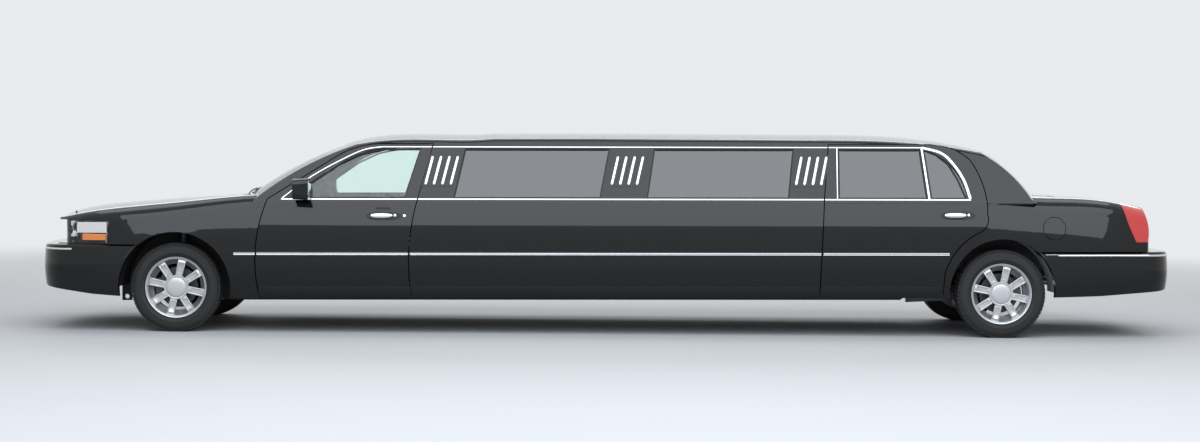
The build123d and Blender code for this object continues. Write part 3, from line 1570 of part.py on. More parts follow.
partition_x = b_belt + 230.0
with BuildPart() as partition:
    with BuildSketch(Plane.YZ.offset(partition_x)):
        with BuildLine():
            Polyline(
                (-wall_inner_y, floor_z),
                (-wall_inner_y, shoulder_z - 30),
                (-650, 1380),
                (650, 1380),
                (wall_inner_y, shoulder_z - 30),
                (wall_inner_y, floor_z),
                close=True,
            )
        make_face()
        with Locations((0, 1170)):
            RectangleRounded(1100, 300, 30, mode=Mode.SUBTRACT)
    extrude(amount=40)
finish(partition.part, "partition")

lounge_front_x, lounge_rear_x = partition_x + 40, rx - 760.0
with BuildPart() as lounge_seats:
    with BuildSketch(Plane.YZ.offset(lounge_front_x + 300)):
        with BuildLine():
            Polyline(
                (-wall_inner_y, floor_z),
                (-wall_inner_y, 960),
                (-780, 960),
                (-700, 720),
                (-330, 740),
                (-310, 640),
                (-340, floor_z),
                close=True,
            )
        make_face()
    extrude(amount=c_belt - 150 - lounge_front_x - 300)
    with BuildSketch(Plane.XZ.offset(-620)):
        with BuildLine():
            Polyline(
                (rx - 720, kick_z + 20),
                (rx - 740, 700),
                (rx - 700, 740),
                (rx - 240, 700),
                (rx - 130, 1080),
                (rx - 40, 1080),
                (rx - 40, kick_z + floor_thickness),
                (rx - 440, kick_z + floor_thickness),
                close=True,
            )
        make_face()
    extrude(amount=1240)
    add(floor_pan.part, mode=Mode.SUBTRACT)
finish(lounge_seats.part, "lounge_seats")
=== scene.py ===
import bpy
import bmesh
from math import cos, exp, hypot, pi, radians, sin, sqrt
from mathutils import Matrix, Vector
from mathutils.bvhtree import BVHTree


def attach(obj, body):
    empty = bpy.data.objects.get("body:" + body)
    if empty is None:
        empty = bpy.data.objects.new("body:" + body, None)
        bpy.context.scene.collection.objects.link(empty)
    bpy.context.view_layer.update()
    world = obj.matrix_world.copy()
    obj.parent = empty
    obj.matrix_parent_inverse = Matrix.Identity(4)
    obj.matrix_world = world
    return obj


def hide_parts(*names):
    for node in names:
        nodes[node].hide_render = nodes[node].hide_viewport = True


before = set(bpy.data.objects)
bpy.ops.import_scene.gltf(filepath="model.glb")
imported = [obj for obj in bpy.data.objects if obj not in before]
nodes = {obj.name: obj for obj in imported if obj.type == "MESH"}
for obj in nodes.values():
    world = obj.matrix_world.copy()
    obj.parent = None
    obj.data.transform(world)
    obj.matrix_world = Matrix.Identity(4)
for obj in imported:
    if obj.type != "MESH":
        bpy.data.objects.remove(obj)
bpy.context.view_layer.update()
print("stage: frame loaded")

# Millimetres of the level body, as the part's source has them
fx, rx, hubHeight, rake = -3278.5, 3013.5, 338.0, radians(0.42)
bTop, bBelt, bLow = fx + 1940.5, fx + 1831.5, fx + 1770.0
cTop, cBelt, cLow = rx - 1307.5, rx - 1358.5, rx - 1380.0
stretchMid = (bBelt + cBelt) / 2 + 17
sides = (("left", -1), ("right", 1))


def tipped(x, y, z):
    dx, dz = x - fx, z - hubHeight
    along = fx + dx * cos(rake) - dz * sin(rake)
    return Vector((along, y, hubHeight + dx * sin(rake) + dz * cos(rake))) / 1000


def arcCentre(a, b, c):
    d = 2 * (a[0] * (b[1] - c[1]) + b[0] * (c[1] - a[1]) + c[0] * (a[1] - b[1]))
    aa, bb, cc = (p[0] ** 2 + p[1] ** 2 for p in (a, b, c))
    x = (aa * (b[1] - c[1]) + bb * (c[1] - a[1]) + cc * (a[1] - b[1])) / d
    y = (aa * (c[0] - b[0]) + bb * (a[0] - c[0]) + cc * (b[0] - a[0])) / d
    return x, y, hypot(a[0] - x, a[1] - y)


wallArc = arcCentre((955.0, 262.0), (997.0, 600.0), (950.0, 985.0))


def wallAt(z):
    # half width and outward normal (across, up) of the side wall at height z
    if z <= 985:
        lift = (z - wallArc[1]) / wallArc[2]
        flat = sqrt(1 - lift * lift)
        return wallArc[0] + wallArc[2] * flat, (flat, lift)
    if z <= 1010:
        return 950 - 15 * (z - 985) / 25, (0.857, 0.514)
    return 935 - 0.4545 * (z - 1010), (0.910, 0.414)


def wallPoint(x, z, hand, out=0.0):
    half, (across, up) = wallAt(z)
    return tipped(x, hand * (half + out * across), z + out * up)


def wallNormal(z, hand):
    across, up = wallAt(z)[1]
    return Vector((0, hand * across, up)).normalized()


# Materials
def finishOf(name, colour, metallic=0.0, roughness=0.5, **extra):
    m = bpy.data.materials.new(name)
    m.use_nodes = True
    t = m.node_tree
    b = t.nodes["Principled BSDF"]
    b.inputs["Base Color"].default_value = (*colour, 1)
    b.inputs["Metallic"].default_value = metallic
    b.inputs["Roughness"].default_value = roughness
    for key, value in extra.items():
        if key in sockets:
            b.inputs[sockets[key]].default_value = value
    coords = t.nodes.new("ShaderNodeTexCoord").outputs["Object"]
    fine, vary, bump = extra.get("grain", (60.0, 0.08, 0.0))
    noise = t.nodes.new("ShaderNodeTexNoise")
    noise.inputs["Scale"].default_value = fine
    noise.inputs["Detail"].default_value = 4.0
    t.links.new(coords, noise.inputs["Vector"])
    wide = t.nodes.new("ShaderNodeTexNoise")
    wide.inputs["Scale"].default_value = extra.get("wide", 2.2)
    wide.inputs["Detail"].default_value = 3.0
    t.links.new(coords, wide.inputs["Vector"])
    spread = t.nodes.new("ShaderNodeMapRange")
    spread.inputs["To Min"].default_value = max(roughness - vary, 0.0)
    spread.inputs["To Max"].default_value = min(roughness + vary, 1.0)
    t.links.new(wide.outputs["Fac"], spread.inputs["Value"])
    t.links.new(spread.outputs["Result"], b.inputs["Roughness"])
    ramp = t.nodes.new("ShaderNodeMix")
    ramp.data_type = "RGBA"
    ramp.inputs["A"].default_value = (*[c * extra.get("dark", 0.85) for c in colour], 1)
    ramp.inputs["B"].default_value = (*[min(c * extra.get("light", 1.12), 1.0) for c in colour], 1)
    t.links.new(noise.outputs["Fac"], ramp.inputs["Factor"])
    t.links.new(ramp.outputs["Result"], b.inputs["Base Color"])
    if bump:
        bumps = t.nodes.new("ShaderNodeBump")
        bumps.inputs["Strength"].default_value = extra.get("strength", 0.3)
        bumps.inputs["Distance"].default_value = bump
        t.links.new(noise.outputs["Fac"], bumps.inputs["Height"])
        t.links.new(bumps.outputs["Normal"], b.inputs["Normal"])
    return m


sockets = {
    "ior": "IOR",
    "specular": "Specular IOR Level",
    "transmission": "Transmission Weight",
    "coat": "Coat Weight",
    "coatRoughness": "Coat Roughness",
    "coatIor": "Coat IOR",
    "sheen": "Sheen Weight",
    "alpha": "Alpha",
    "anisotropic": "Anisotropic",
}


def blackPaint():
    return finishOf(
        "blackPaint", (0.0024, 0.0026, 0.0031), 0.0, 0.3, specular=0.06, coat=1.0, coatRoughness=0.02,
        coatIor=1.38, grain=(900.0, 0.05, 0.00002), strength=0.05, wide=3.0,
    )


def brightTrim():
    return finishOf("brightTrim", (0.78, 0.79, 0.8), 1.0, 0.12, grain=(220.0, 0.05, 0.00004), strength=0.08)


def alloyPaint():
    return finishOf(
        "alloyPaint", (0.5, 0.51, 0.52), 0.75, 0.34, coat=0.5, coatRoughness=0.08,
        grain=(700.0, 0.07, 0.00003), strength=0.1,
    )


def capPaint():
    return finishOf(
        "capPaint", (0.52, 0.52, 0.53), 0.35, 0.4, coat=0.4, coatRoughness=0.1, grain=(500.0, 0.06, 0.00003),
    )


def tyreRubber():
    return finishOf(
        "tyreRubber", (0.016, 0.016, 0.0165), 0.0, 0.72, specular=0.35, grain=(420.0, 0.1, 0.0003), light=1.5,
    )


def darkPlastic():
    return finishOf("darkPlastic", (0.012, 0.012, 0.013), 0.0, 0.55, grain=(800.0, 0.08, 0.0001), light=1.4)


def sealRubber():
    return finishOf("sealRubber", (0.006, 0.006, 0.006), 0.0, 0.62, grain=(300.0, 0.08, 0.0001))


def castIron():
    return finishOf(
        "castIron", (0.09, 0.09, 0.095), 0.8, 0.5, grain=(160.0, 0.12, 0.0003), dark=0.6, light=1.5,
    )


def chassisSteel():
    return finishOf(
        "chassisSteel", (0.02, 0.02, 0.021), 0.4, 0.6, grain=(60.0, 0.14, 0.0004), dark=0.6, light=1.8,
    )


def pipeSteel():
    return finishOf(
        "pipeSteel", (0.3, 0.28, 0.26), 1.0, 0.38, grain=(90.0, 0.12, 0.0002), dark=0.6, light=1.2,
    )


def clearGlass():
    return finishOf(
        "clearGlass", (0.8, 0.93, 0.88), 0.0, 0.01, ior=1.45, transmission=1.0, grain=(30.0, 0.005, 0.0),
        dark=0.97, light=1.02,
    )


# Windscreen: the glass's green tint darkened to a dark olive, painted shade that stands in for the dark cabin
# reflected in the slanted screen
def screenShadeGlass():
    return finishOf(
        "screenShadeGlass", (0.2, 0.24, 0.18), 0.0, 0.01, ior=1.45, transmission=1.0, grain=(30.0, 0.005, 0.0),
        dark=0.97, light=1.02,
    )


def darkGlass():
    return finishOf(
        "darkGlass", (0.012, 0.015, 0.019), 0.0, 0.03, ior=1.45, transmission=0.35, coat=1.0,
        coatRoughness=0.01, coatIor=1.5, grain=(8.0, 0.015, 0.0),
    )


def lampClear():
    return finishOf(
        "lampClear", (0.97, 0.98, 1.0), 0.0, 0.02, ior=1.33, transmission=1.0, grain=(25.0, 0.01, 0.0),
        dark=0.98,
    )


def lampMirror():
    return finishOf("lampMirror", (0.85, 0.86, 0.88), 1.0, 0.16, grain=(140.0, 0.06, 0.0002), strength=0.3)


def lampAmber():
    return finishOf(
        "lampAmber", (0.9, 0.28, 0.05), 0.0, 0.25, coat=0.6, grain=(260.0, 0.06, 0.0004), strength=0.5,
    )


def lampRed():
    return finishOf(
        "lampRed", (0.5, 0.012, 0.01), 0.0, 0.22, specular=0.6, coat=1.0, coatRoughness=0.03,
        grain=(180.0, 0.05, 0.0004), strength=0.35,
    )


def mirrorGlass():
    return finishOf("mirrorGlass", (0.9, 0.91, 0.92), 1.0, 0.02, grain=(20.0, 0.01, 0.0))


def cabinLeather():
    return finishOf(
        "cabinLeather", (0.03, 0.028, 0.027), 0.0, 0.45, specular=0.4, grain=(520.0, 0.08, 0.0006),
        strength=0.5, light=1.5,
    )


def cabinCarpet():
    return finishOf(
        "cabinCarpet", (0.03, 0.03, 0.032), 0.0, 0.95, sheen=0.3, grain=(1500.0, 0.04, 0.001),
        strength=0.7, light=1.8,
    )


def cabinTrim():
    return finishOf(
        "cabinTrim", (0.045, 0.043, 0.042), 0.0, 0.6, grain=(380.0, 0.08, 0.0004), strength=0.4, light=1.3,
    )


def plateWhite():
    return finishOf("plateWhite", (0.7, 0.7, 0.68), 0.0, 0.35, coat=0.3, grain=(300.0, 0.06, 0.00005))


paint, chrome, alloy, capMetal = blackPaint(), brightTrim(), alloyPaint(), capPaint()
rubber, plastic, seal, iron = tyreRubber(), darkPlastic(), sealRubber(), castIron()
steel, pipe = chassisSteel(), pipeSteel()
glass, privacy, screenShade = clearGlass(), darkGlass(), screenShadeGlass()
clearLens, reflector, amber, red = lampClear(), lampMirror(), lampAmber(), lampRed()
silvered, leather, carpet, trim = mirrorGlass(), cabinLeather(), cabinCarpet(), cabinTrim()
blank = plateWhite()

nodeFinish = {
    paint: (
        "roof_panel", "front_wings", "rear_quarters", "hood", "boot_lid", "rear_deck", "stretch_sides",
        "windscreen_frame", "front_door_left", "front_door_right", "rear_door_left", "rear_door_right",
        "front_bumper", "rear_bumper", "fuel_flap", "header_panel", "mirror_left", "mirror_right",
    ),
    glass: ("front_door_glass_left", "front_door_glass_right"),
    # the windscreen's darker glass is painted shade for the cabin reflected in it
    screenShade: ("windscreen",),
    privacy: ("stretch_windows", "rear_window", "rear_door_glass_left", "rear_door_glass_right"),
    chrome: ("grille", "pillar_louvres"),
    clearLens: ("headlamps",),
    red: ("tail_lamps",),
    rubber: ("tyre_front_left", "tyre_front_right", "tyre_rear_left", "tyre_rear_right"),
    alloy: ("wheel_front_left", "wheel_front_right", "wheel_rear_left", "wheel_rear_right"),
    iron: ("knuckle_left", "knuckle_right", "rear_axle", "engine_block", "driveline", "front_suspension"),
    steel: ("frame_front", "frame_stretch", "frame_rear", "engine_bay", "fuel_tank"),
    pipe: ("exhaust",),
    carpet: ("floor_pan",),
    trim: ("dashboard", "partition"),
    leather: ("steering_wheel", "front_seats", "lounge_seats"),
}
for material, names in nodeFinish.items():
    for name in names:
        held = nodes[name].data.materials
        held.clear()
        held.append(material)
assert sorted(n for names in nodeFinish.values() for n in names) == sorted(nodes)
print("stage: materials set")


# Makers of meshes
def linked(name, data):
    made = bpy.data.objects.new(name, data)
    bpy.context.scene.collection.objects.link(made)
    return made


def smoothed(mesh, sharp, merge=None):
    tidy = bmesh.new()
    tidy.from_mesh(mesh)
    if merge:
        bmesh.ops.remove_doubles(tidy, verts=tidy.verts, dist=merge)
    bmesh.ops.recalc_face_normals(tidy, faces=tidy.faces)
    tidy.to_mesh(mesh)
    tidy.free()
    mesh.polygons.foreach_set("use_smooth", [True] * len(mesh.polygons))
    mesh.set_sharp_from_angle(angle=radians(sharp))


def meshPiece(name, points, faces, material, body, sharp=35.0):
    mesh = bpy.data.meshes.new(name)
    mesh.from_pydata([tuple(p) for p in points], [], faces)
    smoothed(mesh, sharp, 1e-6)
    mesh.materials.append(material)
    piece = linked(name, mesh)
    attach(piece, body)
    return piece


def gather(parts):
    # joins (points, faces) pairs into one
    points, faces = [], []
    for p, f in parts:
        base = len(points)
        points += p
        faces += [[base + i for i in face] for face in f]
    return points, faces


def loftRings(rings, closed=False, capped=True):
    n = len(rings[0])
    points = [p for ring in rings for p in ring]
    faces = []
    last = len(rings) if closed else len(rings) - 1
    for i in range(last):
        a, b = i * n, ((i + 1) % len(rings)) * n
        faces += [[a + j, a + (j + 1) % n, b + (j + 1) % n, b + j] for j in range(n)]
    if capped and not closed:
        faces.append(list(range(n - 1, -1, -1)))
        faces.append([(len(rings) - 1) * n + j for j in range(n)])
    return points, faces


def sweep(path, normals, profile, closed=False):
    # profile of (across, out) in millimetres carried along the path, square to it
    rings = []
    count = len(path)
    for i, (point, normal) in enumerate(zip(path, normals)):
        before = path[i - 1] if i or closed else path[i]
        after = path[(i + 1) % count] if i < count - 1 or closed else path[i]
        run = (after - before).normalized()
        out = (normal - run * normal.dot(run)).normalized()
        across = out.cross(run).normalized()
        rings.append([point + across * (a / 1000) + out * (o / 1000) for a, o in profile])
    return loftRings(rings, closed)


def roundBar(width, height, steps=8, foot=1.5):
    # half-round section, standing on a flat foot sunk into what carries it
    arc = [(-cos(pi * i / steps) * width / 2, sin(pi * i / steps) * height) for i in range(steps + 1)]
    return [(-width / 2, -foot)] + arc + [(width / 2, -foot)]


def smoothPath(corners, steps=10):
    # Catmull-Rom curve through the corners
    ends = [corners[0]] + list(corners) + [corners[-1]]
    found = []
    for i in range(1, len(ends) - 2):
        a, b, c, d = (Vector(p) for p in ends[i - 1:i + 3])
        for s in range(steps):
            t = s / steps
            bend, twist = 2 * a - 5 * b + 4 * c - d, 3 * b - a - 3 * c + d
            found.append(0.5 * (2 * b + (c - a) * t + bend * t**2 + twist * t**3))
    found.append(Vector(ends[-2]))
    return found


def evenPath(corners, gap):
    # straight runs cut into short ones
    found = []
    for a, b in zip(corners, corners[1:]):
        a, b = Vector(a), Vector(b)
        count = max(int((b - a).length / gap), 1)
        found += [a + (b - a) * i / count for i in range(count)]
    found.append(Vector(corners[-1]))
    return found


def wallStrip(name, body, hand, path, profile, material, closed=False):
    points = [wallPoint(x, z, hand) for x, z in path]
    normals = [wallNormal(z, hand) for x, z in path]
    return meshPiece(name, *sweep(points, normals, profile, closed), material, body)


def roundedBox(centre, size, radius, segments=3, turn=None):
    m = bmesh.new()
    bmesh.ops.create_cube(m, size=1.0)
    for v in m.verts:
        v.co = Vector((v.co.x * size[0], v.co.y * size[1], v.co.z * size[2]))
    bmesh.ops.bevel(m, geom=m.edges[:], offset=radius, segments=segments, profile=0.5, affect="EDGES")
    if turn:
        bmesh.ops.transform(m, matrix=turn, verts=m.verts)
    points = [v.co / 1000 + centre for v in m.verts]
    faces = [[v.index for v in f.verts] for f in m.faces]
    m.free()
    return points, faces


def lathe(profile, hub, hand, steps=96, closed=True):
    # (radius, out) pairs turned about the wheel's axis
    rings = []
    for i in range(steps):
        angle = 2 * pi * i / steps
        c, s = cos(angle), sin(angle)
        rings.append([(hub + Vector((r * c, hand * o, r * s))) / 1000 for r, o in profile])
    points, faces = loftRings(rings, True)
    if not closed:
        n = len(profile)
        faces = [f for i, f in enumerate(faces) if i % n != n - 1]
    return points, faces


def tube(path, radius, count=10):
    ring = [(radius * cos(2 * pi * i / count), radius * sin(2 * pi * i / count)) for i in range(count)]
    steady = Vector((0, 0, 1)) if abs((path[-1] - path[0]).normalized().z) < 0.9 else Vector((1, 0, 0))
    return sweep(path, [steady] * len(path), ring)


# Geometry Nodes: one tool repeats a small piece along a step and a turn
def repeatTool():
    g = bpy.data.node_groups.new("repeatTool", "GeometryNodeTree")
    add = g.interface.new_socket
    add(name="Geometry", in_out="OUTPUT", socket_type="NodeSocketGeometry")
    add(name="Piece", in_out="INPUT", socket_type="NodeSocketObject")
    add(name="Count", in_out="INPUT", socket_type="NodeSocketInt")
    add(name="Step", in_out="INPUT", socket_type="NodeSocketVector")
    add(name="Turn", in_out="INPUT", socket_type="NodeSocketVector")
    add(name="Vary", in_out="INPUT", socket_type="NodeSocketFloat")
    add(name="Seed", in_out="INPUT", socket_type="NodeSocketInt")
    add(name="Finish", in_out="INPUT", socket_type="NodeSocketMaterial")
    new, link = g.nodes.new, g.links.new
    given = new("NodeGroupInput").outputs
    line = new("GeometryNodeMeshLine")
    link(given["Count"], line.inputs["Count"])
    link(given["Step"], line.inputs["Offset"])
    info = new("GeometryNodeObjectInfo")
    link(given["Piece"], info.inputs["Object"])
    turn = new("ShaderNodeVectorMath")
    turn.operation = "SCALE"
    link(given["Turn"], turn.inputs["Vector"])
    link(new("GeometryNodeInputIndex").outputs["Index"], turn.inputs["Scale"])
    low = new("ShaderNodeMath")
    low.operation = "SUBTRACT"
    low.inputs[0].default_value = 1.0
    link(given["Vary"], low.inputs[1])
    scatter = new("FunctionNodeRandomValue")
    link(low.outputs["Value"], scatter.inputs[2])
    scatter.inputs[3].default_value = 1.0
    link(given["Seed"], scatter.inputs["Seed"])
    spread = new("GeometryNodeInstanceOnPoints")
    link(line.outputs["Mesh"], spread.inputs["Points"])
    link(info.outputs["Geometry"], spread.inputs["Instance"])
    link(turn.outputs["Vector"], spread.inputs["Rotation"])
    link(scatter.outputs[1], spread.inputs["Scale"])
    real = new("GeometryNodeRealizeInstances")
    link(spread.outputs["Instances"], real.inputs["Geometry"])
    shade = new("GeometryNodeSetMaterial")
    link(real.outputs["Geometry"], shade.inputs["Geometry"])
    link(given["Finish"], shade.inputs["Material"])
    link(shade.outputs["Geometry"], new("NodeGroupOutput").inputs["Geometry"])
    return g


repeatGroup = repeatTool()


def repeated(
    name, small, material, body, count, step=(0, 0, 0), turn=(0, 0, 0), vary=0.0, moved=None, sharp=35.0,
):
    # small is (points, faces) about the origin; moved carries the whole set to its place
    seedMesh = bpy.data.meshes.new(name + "Seed")
    seedMesh.from_pydata([tuple(p) for p in small[0]], [], small[1])
    seed = linked(name + "Seed", seedMesh)
    holder = linked(name, bpy.data.meshes.new(name + "Empty"))
    tool = holder.modifiers.new("repeat", "NODES")
    tool.node_group = repeatGroup
    wanted = {
        "Piece": seed, "Count": count, "Step": step, "Turn": turn, "Vary": vary, "Seed": 7,
        "Finish": material,
    }
    for item in repeatGroup.interface.items_tree:
        if item.name in wanted:
            tool[item.identifier] = wanted[item.name]
    holder.update_tag()
    bpy.context.view_layer.update()
    graph = bpy.context.evaluated_depsgraph_get()
    mesh = bpy.data.meshes.new_from_object(holder.evaluated_get(graph))
    holder.modifiers.remove(tool)
    empty = holder.data
    holder.data = mesh
    bpy.data.meshes.remove(empty)
    bpy.data.objects.remove(seed)
    bpy.data.meshes.remove(seedMesh)
    if moved:
        mesh.transform(moved)
    smoothed(mesh, sharp)
    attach(holder, body)
    return holder


# Tyres: grooved carcass with raised sidewall rings, and tread blocks round it
tyreShape = {
    "profile": (
        (217.6, -84), (236, -89), (239, -101), (262, -111), (282, -113.6), (300, -111), (317, -102),
        (327.5, -91), (330.5, -80), (329.5, -40), (326, -38), (326, -32), (329.5, -30), (329.5, -4),
        (326, -2), (326, 2), (329.5, 4), (329.5, 30), (326, 32), (326, 38), (329.5, 40), (330.5, 80),
        (327.5, 91), (317, 102), (300, 111), (282, 113.6), (268, 112.4), (266, 113.8), (262, 113.6),
        (260, 111), (239, 101), (236, 89), (217.6, 84),
    ),
    "rows": (-84, -57, -17, 17, 57, 84),
    "blocks": 66,
}


def treadBlock(across, width, radius, length, slant):
    # one block with rounded top edges, standing at the top of the wheel
    top, low = radius, radius - 11
    half, run = width / 2, length / 2
    rings = []
    for inset, height in ((0, low), (0, top - 2.2), (0.8, top - 0.6), (2.6, top - 0.15)):
        rings.append([
            Vector((x + slant * (across + y) / 100, across + y, height)) / 1000
            for x, y in (
                (-run + inset, -half + inset), (run - inset, -half + inset),
                (run - inset, half - inset), (-run + inset, half - inset),
            )
        ])
    return loftRings(rings)


wheelPlaces = (
    ("front", "left", fx, 805.0), ("front", "right", fx, 805.0),
    ("rear", "left", rx, 829.5), ("rear", "right", rx, 829.5),
)
for end, side, x, y in wheelPlaces:
    hand = -1 if side == "left" else 1
    body = f"wheel_{end}_{side}"
    hub = Vector((x, hand * y, hubHeight))
    form = lathe(tyreShape["profile"], hub, hand, 120)
    carcass = meshPiece(f"tyreCarcass_{end}_{side}", *form, rubber, body, 50)
    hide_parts(f"tyre_{end}_{side}")
    blocks = []
    for across in tyreShape["rows"]:
        wide = 25 if abs(across) > 60 else 23
        top = 336.2 if abs(across) > 80 else 337.6
        blocks.append(treadBlock(across, wide, top, 27.0, 10 if across > 0 else -10))
    step = 2 * pi / tyreShape["blocks"]
    repeated(
        f"tyreTread_{end}_{side}", gather(blocks), rubber, body, tyreShape["blocks"], turn=(0, step, 0),
        moved=Matrix.Translation(hub / 1000),
    )

# Wheels: barrel and lip, eight grooved spokes, plain cap in a ring, brake disc
wheelShape = {
    "rim": (
        (217, 89.5), (226, 91), (231.5, 93), (232.8, 95.4), (231.5, 97.6), (228, 97.6), (224, 95), (219, 84),
        (211, 74), (206, 66), (203, 58), (199, 50), (186, 38), (178, 30), (178, -8), (190, -26), (204, -44),
        (206, -84), (224, -96), (231, -97.5), (233, -94), (230, -91), (217, -89.5), (214, -50), (190, -14),
        (190, 30), (212, 54),
    ),
    "cap": (
        (0, 96.5), (20, 96.2), (42, 95), (60, 92.6), (71, 89.5), (75, 86.5), (77, 82.8), (79, 82.8),
        (80.5, 86), (84, 87.6), (88.5, 87.4), (91.5, 84.5), (92.5, 80), (93, 62), (80, 56), (0, 56),
    ),
    "disc": (
        (34, -37.6), (150, -37.6), (151.6, -36), (151.6, -14), (150, -12.4), (98, -12.4), (94, -8), (92, 8),
        (86, 12), (34, 12),
    ),
    "hubBarrel": ((34, 8), (70, 8), (76, 16), (80, 40), (84, 62), (60, 64), (34, 64)),
}


def spoke():
    # section across the spoke carried out along the radius, its groove closed at both ends
    rings = []
    for radius, half, face, groove in (
        (80, 27, 76, 0), (98, 27, 78, 0), (108, 27.2, 79, 0), (113, 27.4, 79.4, 4.5), (150, 28.2, 80.5, 5.5),
        (188, 29, 79.5, 4.5), (194, 29.2, 79, 0), (203, 30, 77, 0), (213, 32, 73, 0),
    ):
        low = face - 17
        inner = half - 10
        rings.append([
            Vector((x, z, radius)) / 1000
            for x, z in (
                (-half + 2, low), (-half, low + 3), (-half, face - 3), (-half + 1.2, face - 0.8),
                (-half + 3.4, face), (-inner - 1.5, face), (-inner, face - 0.8),
                (-inner + 2.2, face - groove - 0.2), (inner - 2.2, face - groove - 0.2), (inner, face - 0.8),
                (inner + 1.5, face), (half - 3.4, face), (half - 1.2, face - 0.8), (half, face - 3),
                (half, low + 3), (half - 2, low),
            )
        ])
    return loftRings(rings)


for end, side, x, y in wheelPlaces:
    hand = -1 if side == "left" else 1
    body = f"wheel_{end}_{side}"
    hub = Vector((x, hand * y, hubHeight))
    tag = f"{end}_{side}"
    rim = meshPiece(f"wheelRim_{tag}", *lathe(wheelShape["rim"], hub, hand, 120), alloy, body, 40)
    placed = Matrix.Translation(hub / 1000) @ Matrix.Diagonal((1, hand, 1, 1))
    repeated(
        f"wheelSpokes_{tag}", spoke(), alloy, body, 8, turn=(0, 2 * pi / 8, 0),
        moved=placed @ Matrix.Rotation(radians(12), 4, "Y"),
    )
    cap = lathe(wheelShape["cap"], hub, hand, 72, closed=False)
    meshPiece(f"wheelCap_{tag}", *cap, capMetal, body, 30)
    meshPiece(f"wheelHub_{tag}", *lathe(wheelShape["hubBarrel"], hub, hand, 48), iron, body)
    meshPiece(f"brakeDisc_{tag}", *lathe(wheelShape["disc"], hub, hand, 96), iron, body, 30)
    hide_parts(f"wheel_{end}_{side}")
    valve = []
    for i, (inward, out) in enumerate(((0, 66), (3, 78), (5, 84))):
        reach = 206 - inward
        valve.append((hub + Vector((reach * cos(1.96), hand * out, reach * sin(1.96)))) / 1000)
    meshPiece(f"valve_{tag}", *tube(valve, 3.6, 8), seal, body)
print("stage: wheels")

# Chrome lines: belt, window tops and mouldings, split at the panels they ride on
beltTrim = {"height": 1010.0, "width": 15.0, "stand": 5.5}
beltRuns = (
    ("front_door", fx + 804.0, bBelt - 1.5),
    ("stretch", bBelt + 9.5, cBelt - 9.5),
    ("rear_door", cBelt + 1.5, rx - 243.0),
)
windowTop = {"width": 11.0, "stand": 4.5, "height": 1407}
quarterTrim = {"width": 24.0, "stand": 6.0}
top = windowTop["height"]
frontArc = [(-2469, 1016), (-2259, 1177), (-2046, 1300), (-1864, 1384), (-1725, top)]
rearArc = [(2421, top), (2560, 1370), (2645, 1298), (2726, 1166), (2768, 1019)]
moulding = {"height": 597.0, "width": 34.0, "stand": 7.0}
mouldingRuns = (
    ("front_door", fx + 625.0, bLow - 4.0),
    ("stretch", bLow + 12.0, cLow - 12.0),
    ("rear_door", cLow + 4.0, rx - 415.0),
)
frontMoulding = (fx + 452.0, fx + 612.0)


def carrier(run, side):
    return "chassis" if run in ("wing", "stretch") else f"{run}_{side}"


for side, hand in sides:
    for run, start, stop in beltRuns:
        path = evenPath([(start, beltTrim["height"]), (stop, beltTrim["height"])], 60)
        bar = roundBar(beltTrim["width"], beltTrim["stand"])
        wallStrip(f"beltTrim_{run}_{side}", carrier(run, side), hand, path, bar, chrome)
    topRuns = (
        ("front_door", smoothPath(frontArc)[:-1] + evenPath([frontArc[-1], (bTop - 8, top)], 60)),
        ("stretch", evenPath([(bTop + 2, top), (cTop - 14, top)], 60)),
        ("rear_door", evenPath([(cTop - 3, top), rearArc[0]], 60)),
    )
    bar = roundBar(quarterTrim["width"], quarterTrim["stand"])
    wallStrip(f"quarterTrim_{side}", f"rear_door_{side}", hand, smoothPath(rearArc), bar, chrome)
    for run, path in topRuns:
        bar = roundBar(windowTop["width"], windowTop["stand"])
        wallStrip(f"windowTrim_{run}_{side}", carrier(run, side), hand, path, bar, chrome)
    for run, start, stop in mouldingRuns + (("wing", *frontMoulding),):
        body = carrier(run, side)
        path = evenPath([(start, moulding["height"]), (stop, moulding["height"])], 60)
        wallStrip(f"mouldingBase_{run}_{side}", body, hand, path, roundBar(moulding["width"], 6.0), plastic)
        ribs = []
        for offset in (-5.0, 5.0):
            height = moulding["height"] + offset
            edge = [wallPoint(p[0], height, hand, 4.6) for p in path]
            ribs.append(sweep(edge, [wallNormal(height, hand)] * len(edge), roundBar(6.5, 3.2)))
        meshPiece(f"mouldingRibs_{run}_{side}", *gather(ribs), chrome, body)
    # A thin dark strip along the rear door's belt crease: painted shadow standing in for the shade line at
    # the crease
    crease = evenPath([(cBelt + 6, 984), (rx - 240, 984)], 60)
    fine = roundBar(3.2, 0.5, 4, 0.5)
    wallStrip(f"beltCrease_rear_door_{side}", f"rear_door_{side}", hand, crease, fine, seal)
print("stage: chrome lines")

# Window frames: a dark rubber edge inside each opening
glassLow, glassHigh = 1020, 1396
windowFaces = {
    "front_door": [
        [
            (fx + 850.0, glassLow), (fx + 1232.5, 1285), (fx + 1400, 1362), (fx + 1560, glassHigh),
            (fx + 1852.5, glassHigh), (fx + 1740.5, glassLow),
        ],
    ],
    "stretch": [
        [
            (bBelt + 275, glassLow), (bBelt + 357, glassHigh),
            (stretchMid - 101, glassHigh), (stretchMid - 176, glassLow),
        ],
        [
            (stretchMid + 176, glassLow), (stretchMid + 238, glassHigh),
            (cBelt - 221, glassHigh), (cBelt - 272, glassLow),
        ],
    ],
    "rear_door": [
        [(rx - 1252, glassLow), (rx - 1238, glassHigh), (rx - 606, glassHigh), (rx - 572, glassLow)],
        [
            (rx - 546, glassLow), (rx - 580, glassHigh), (rx - 480, 1362), (rx - 392, 1290), (rx - 325, 1170),
            (rx - 272, glassLow),
        ],
    ],
}


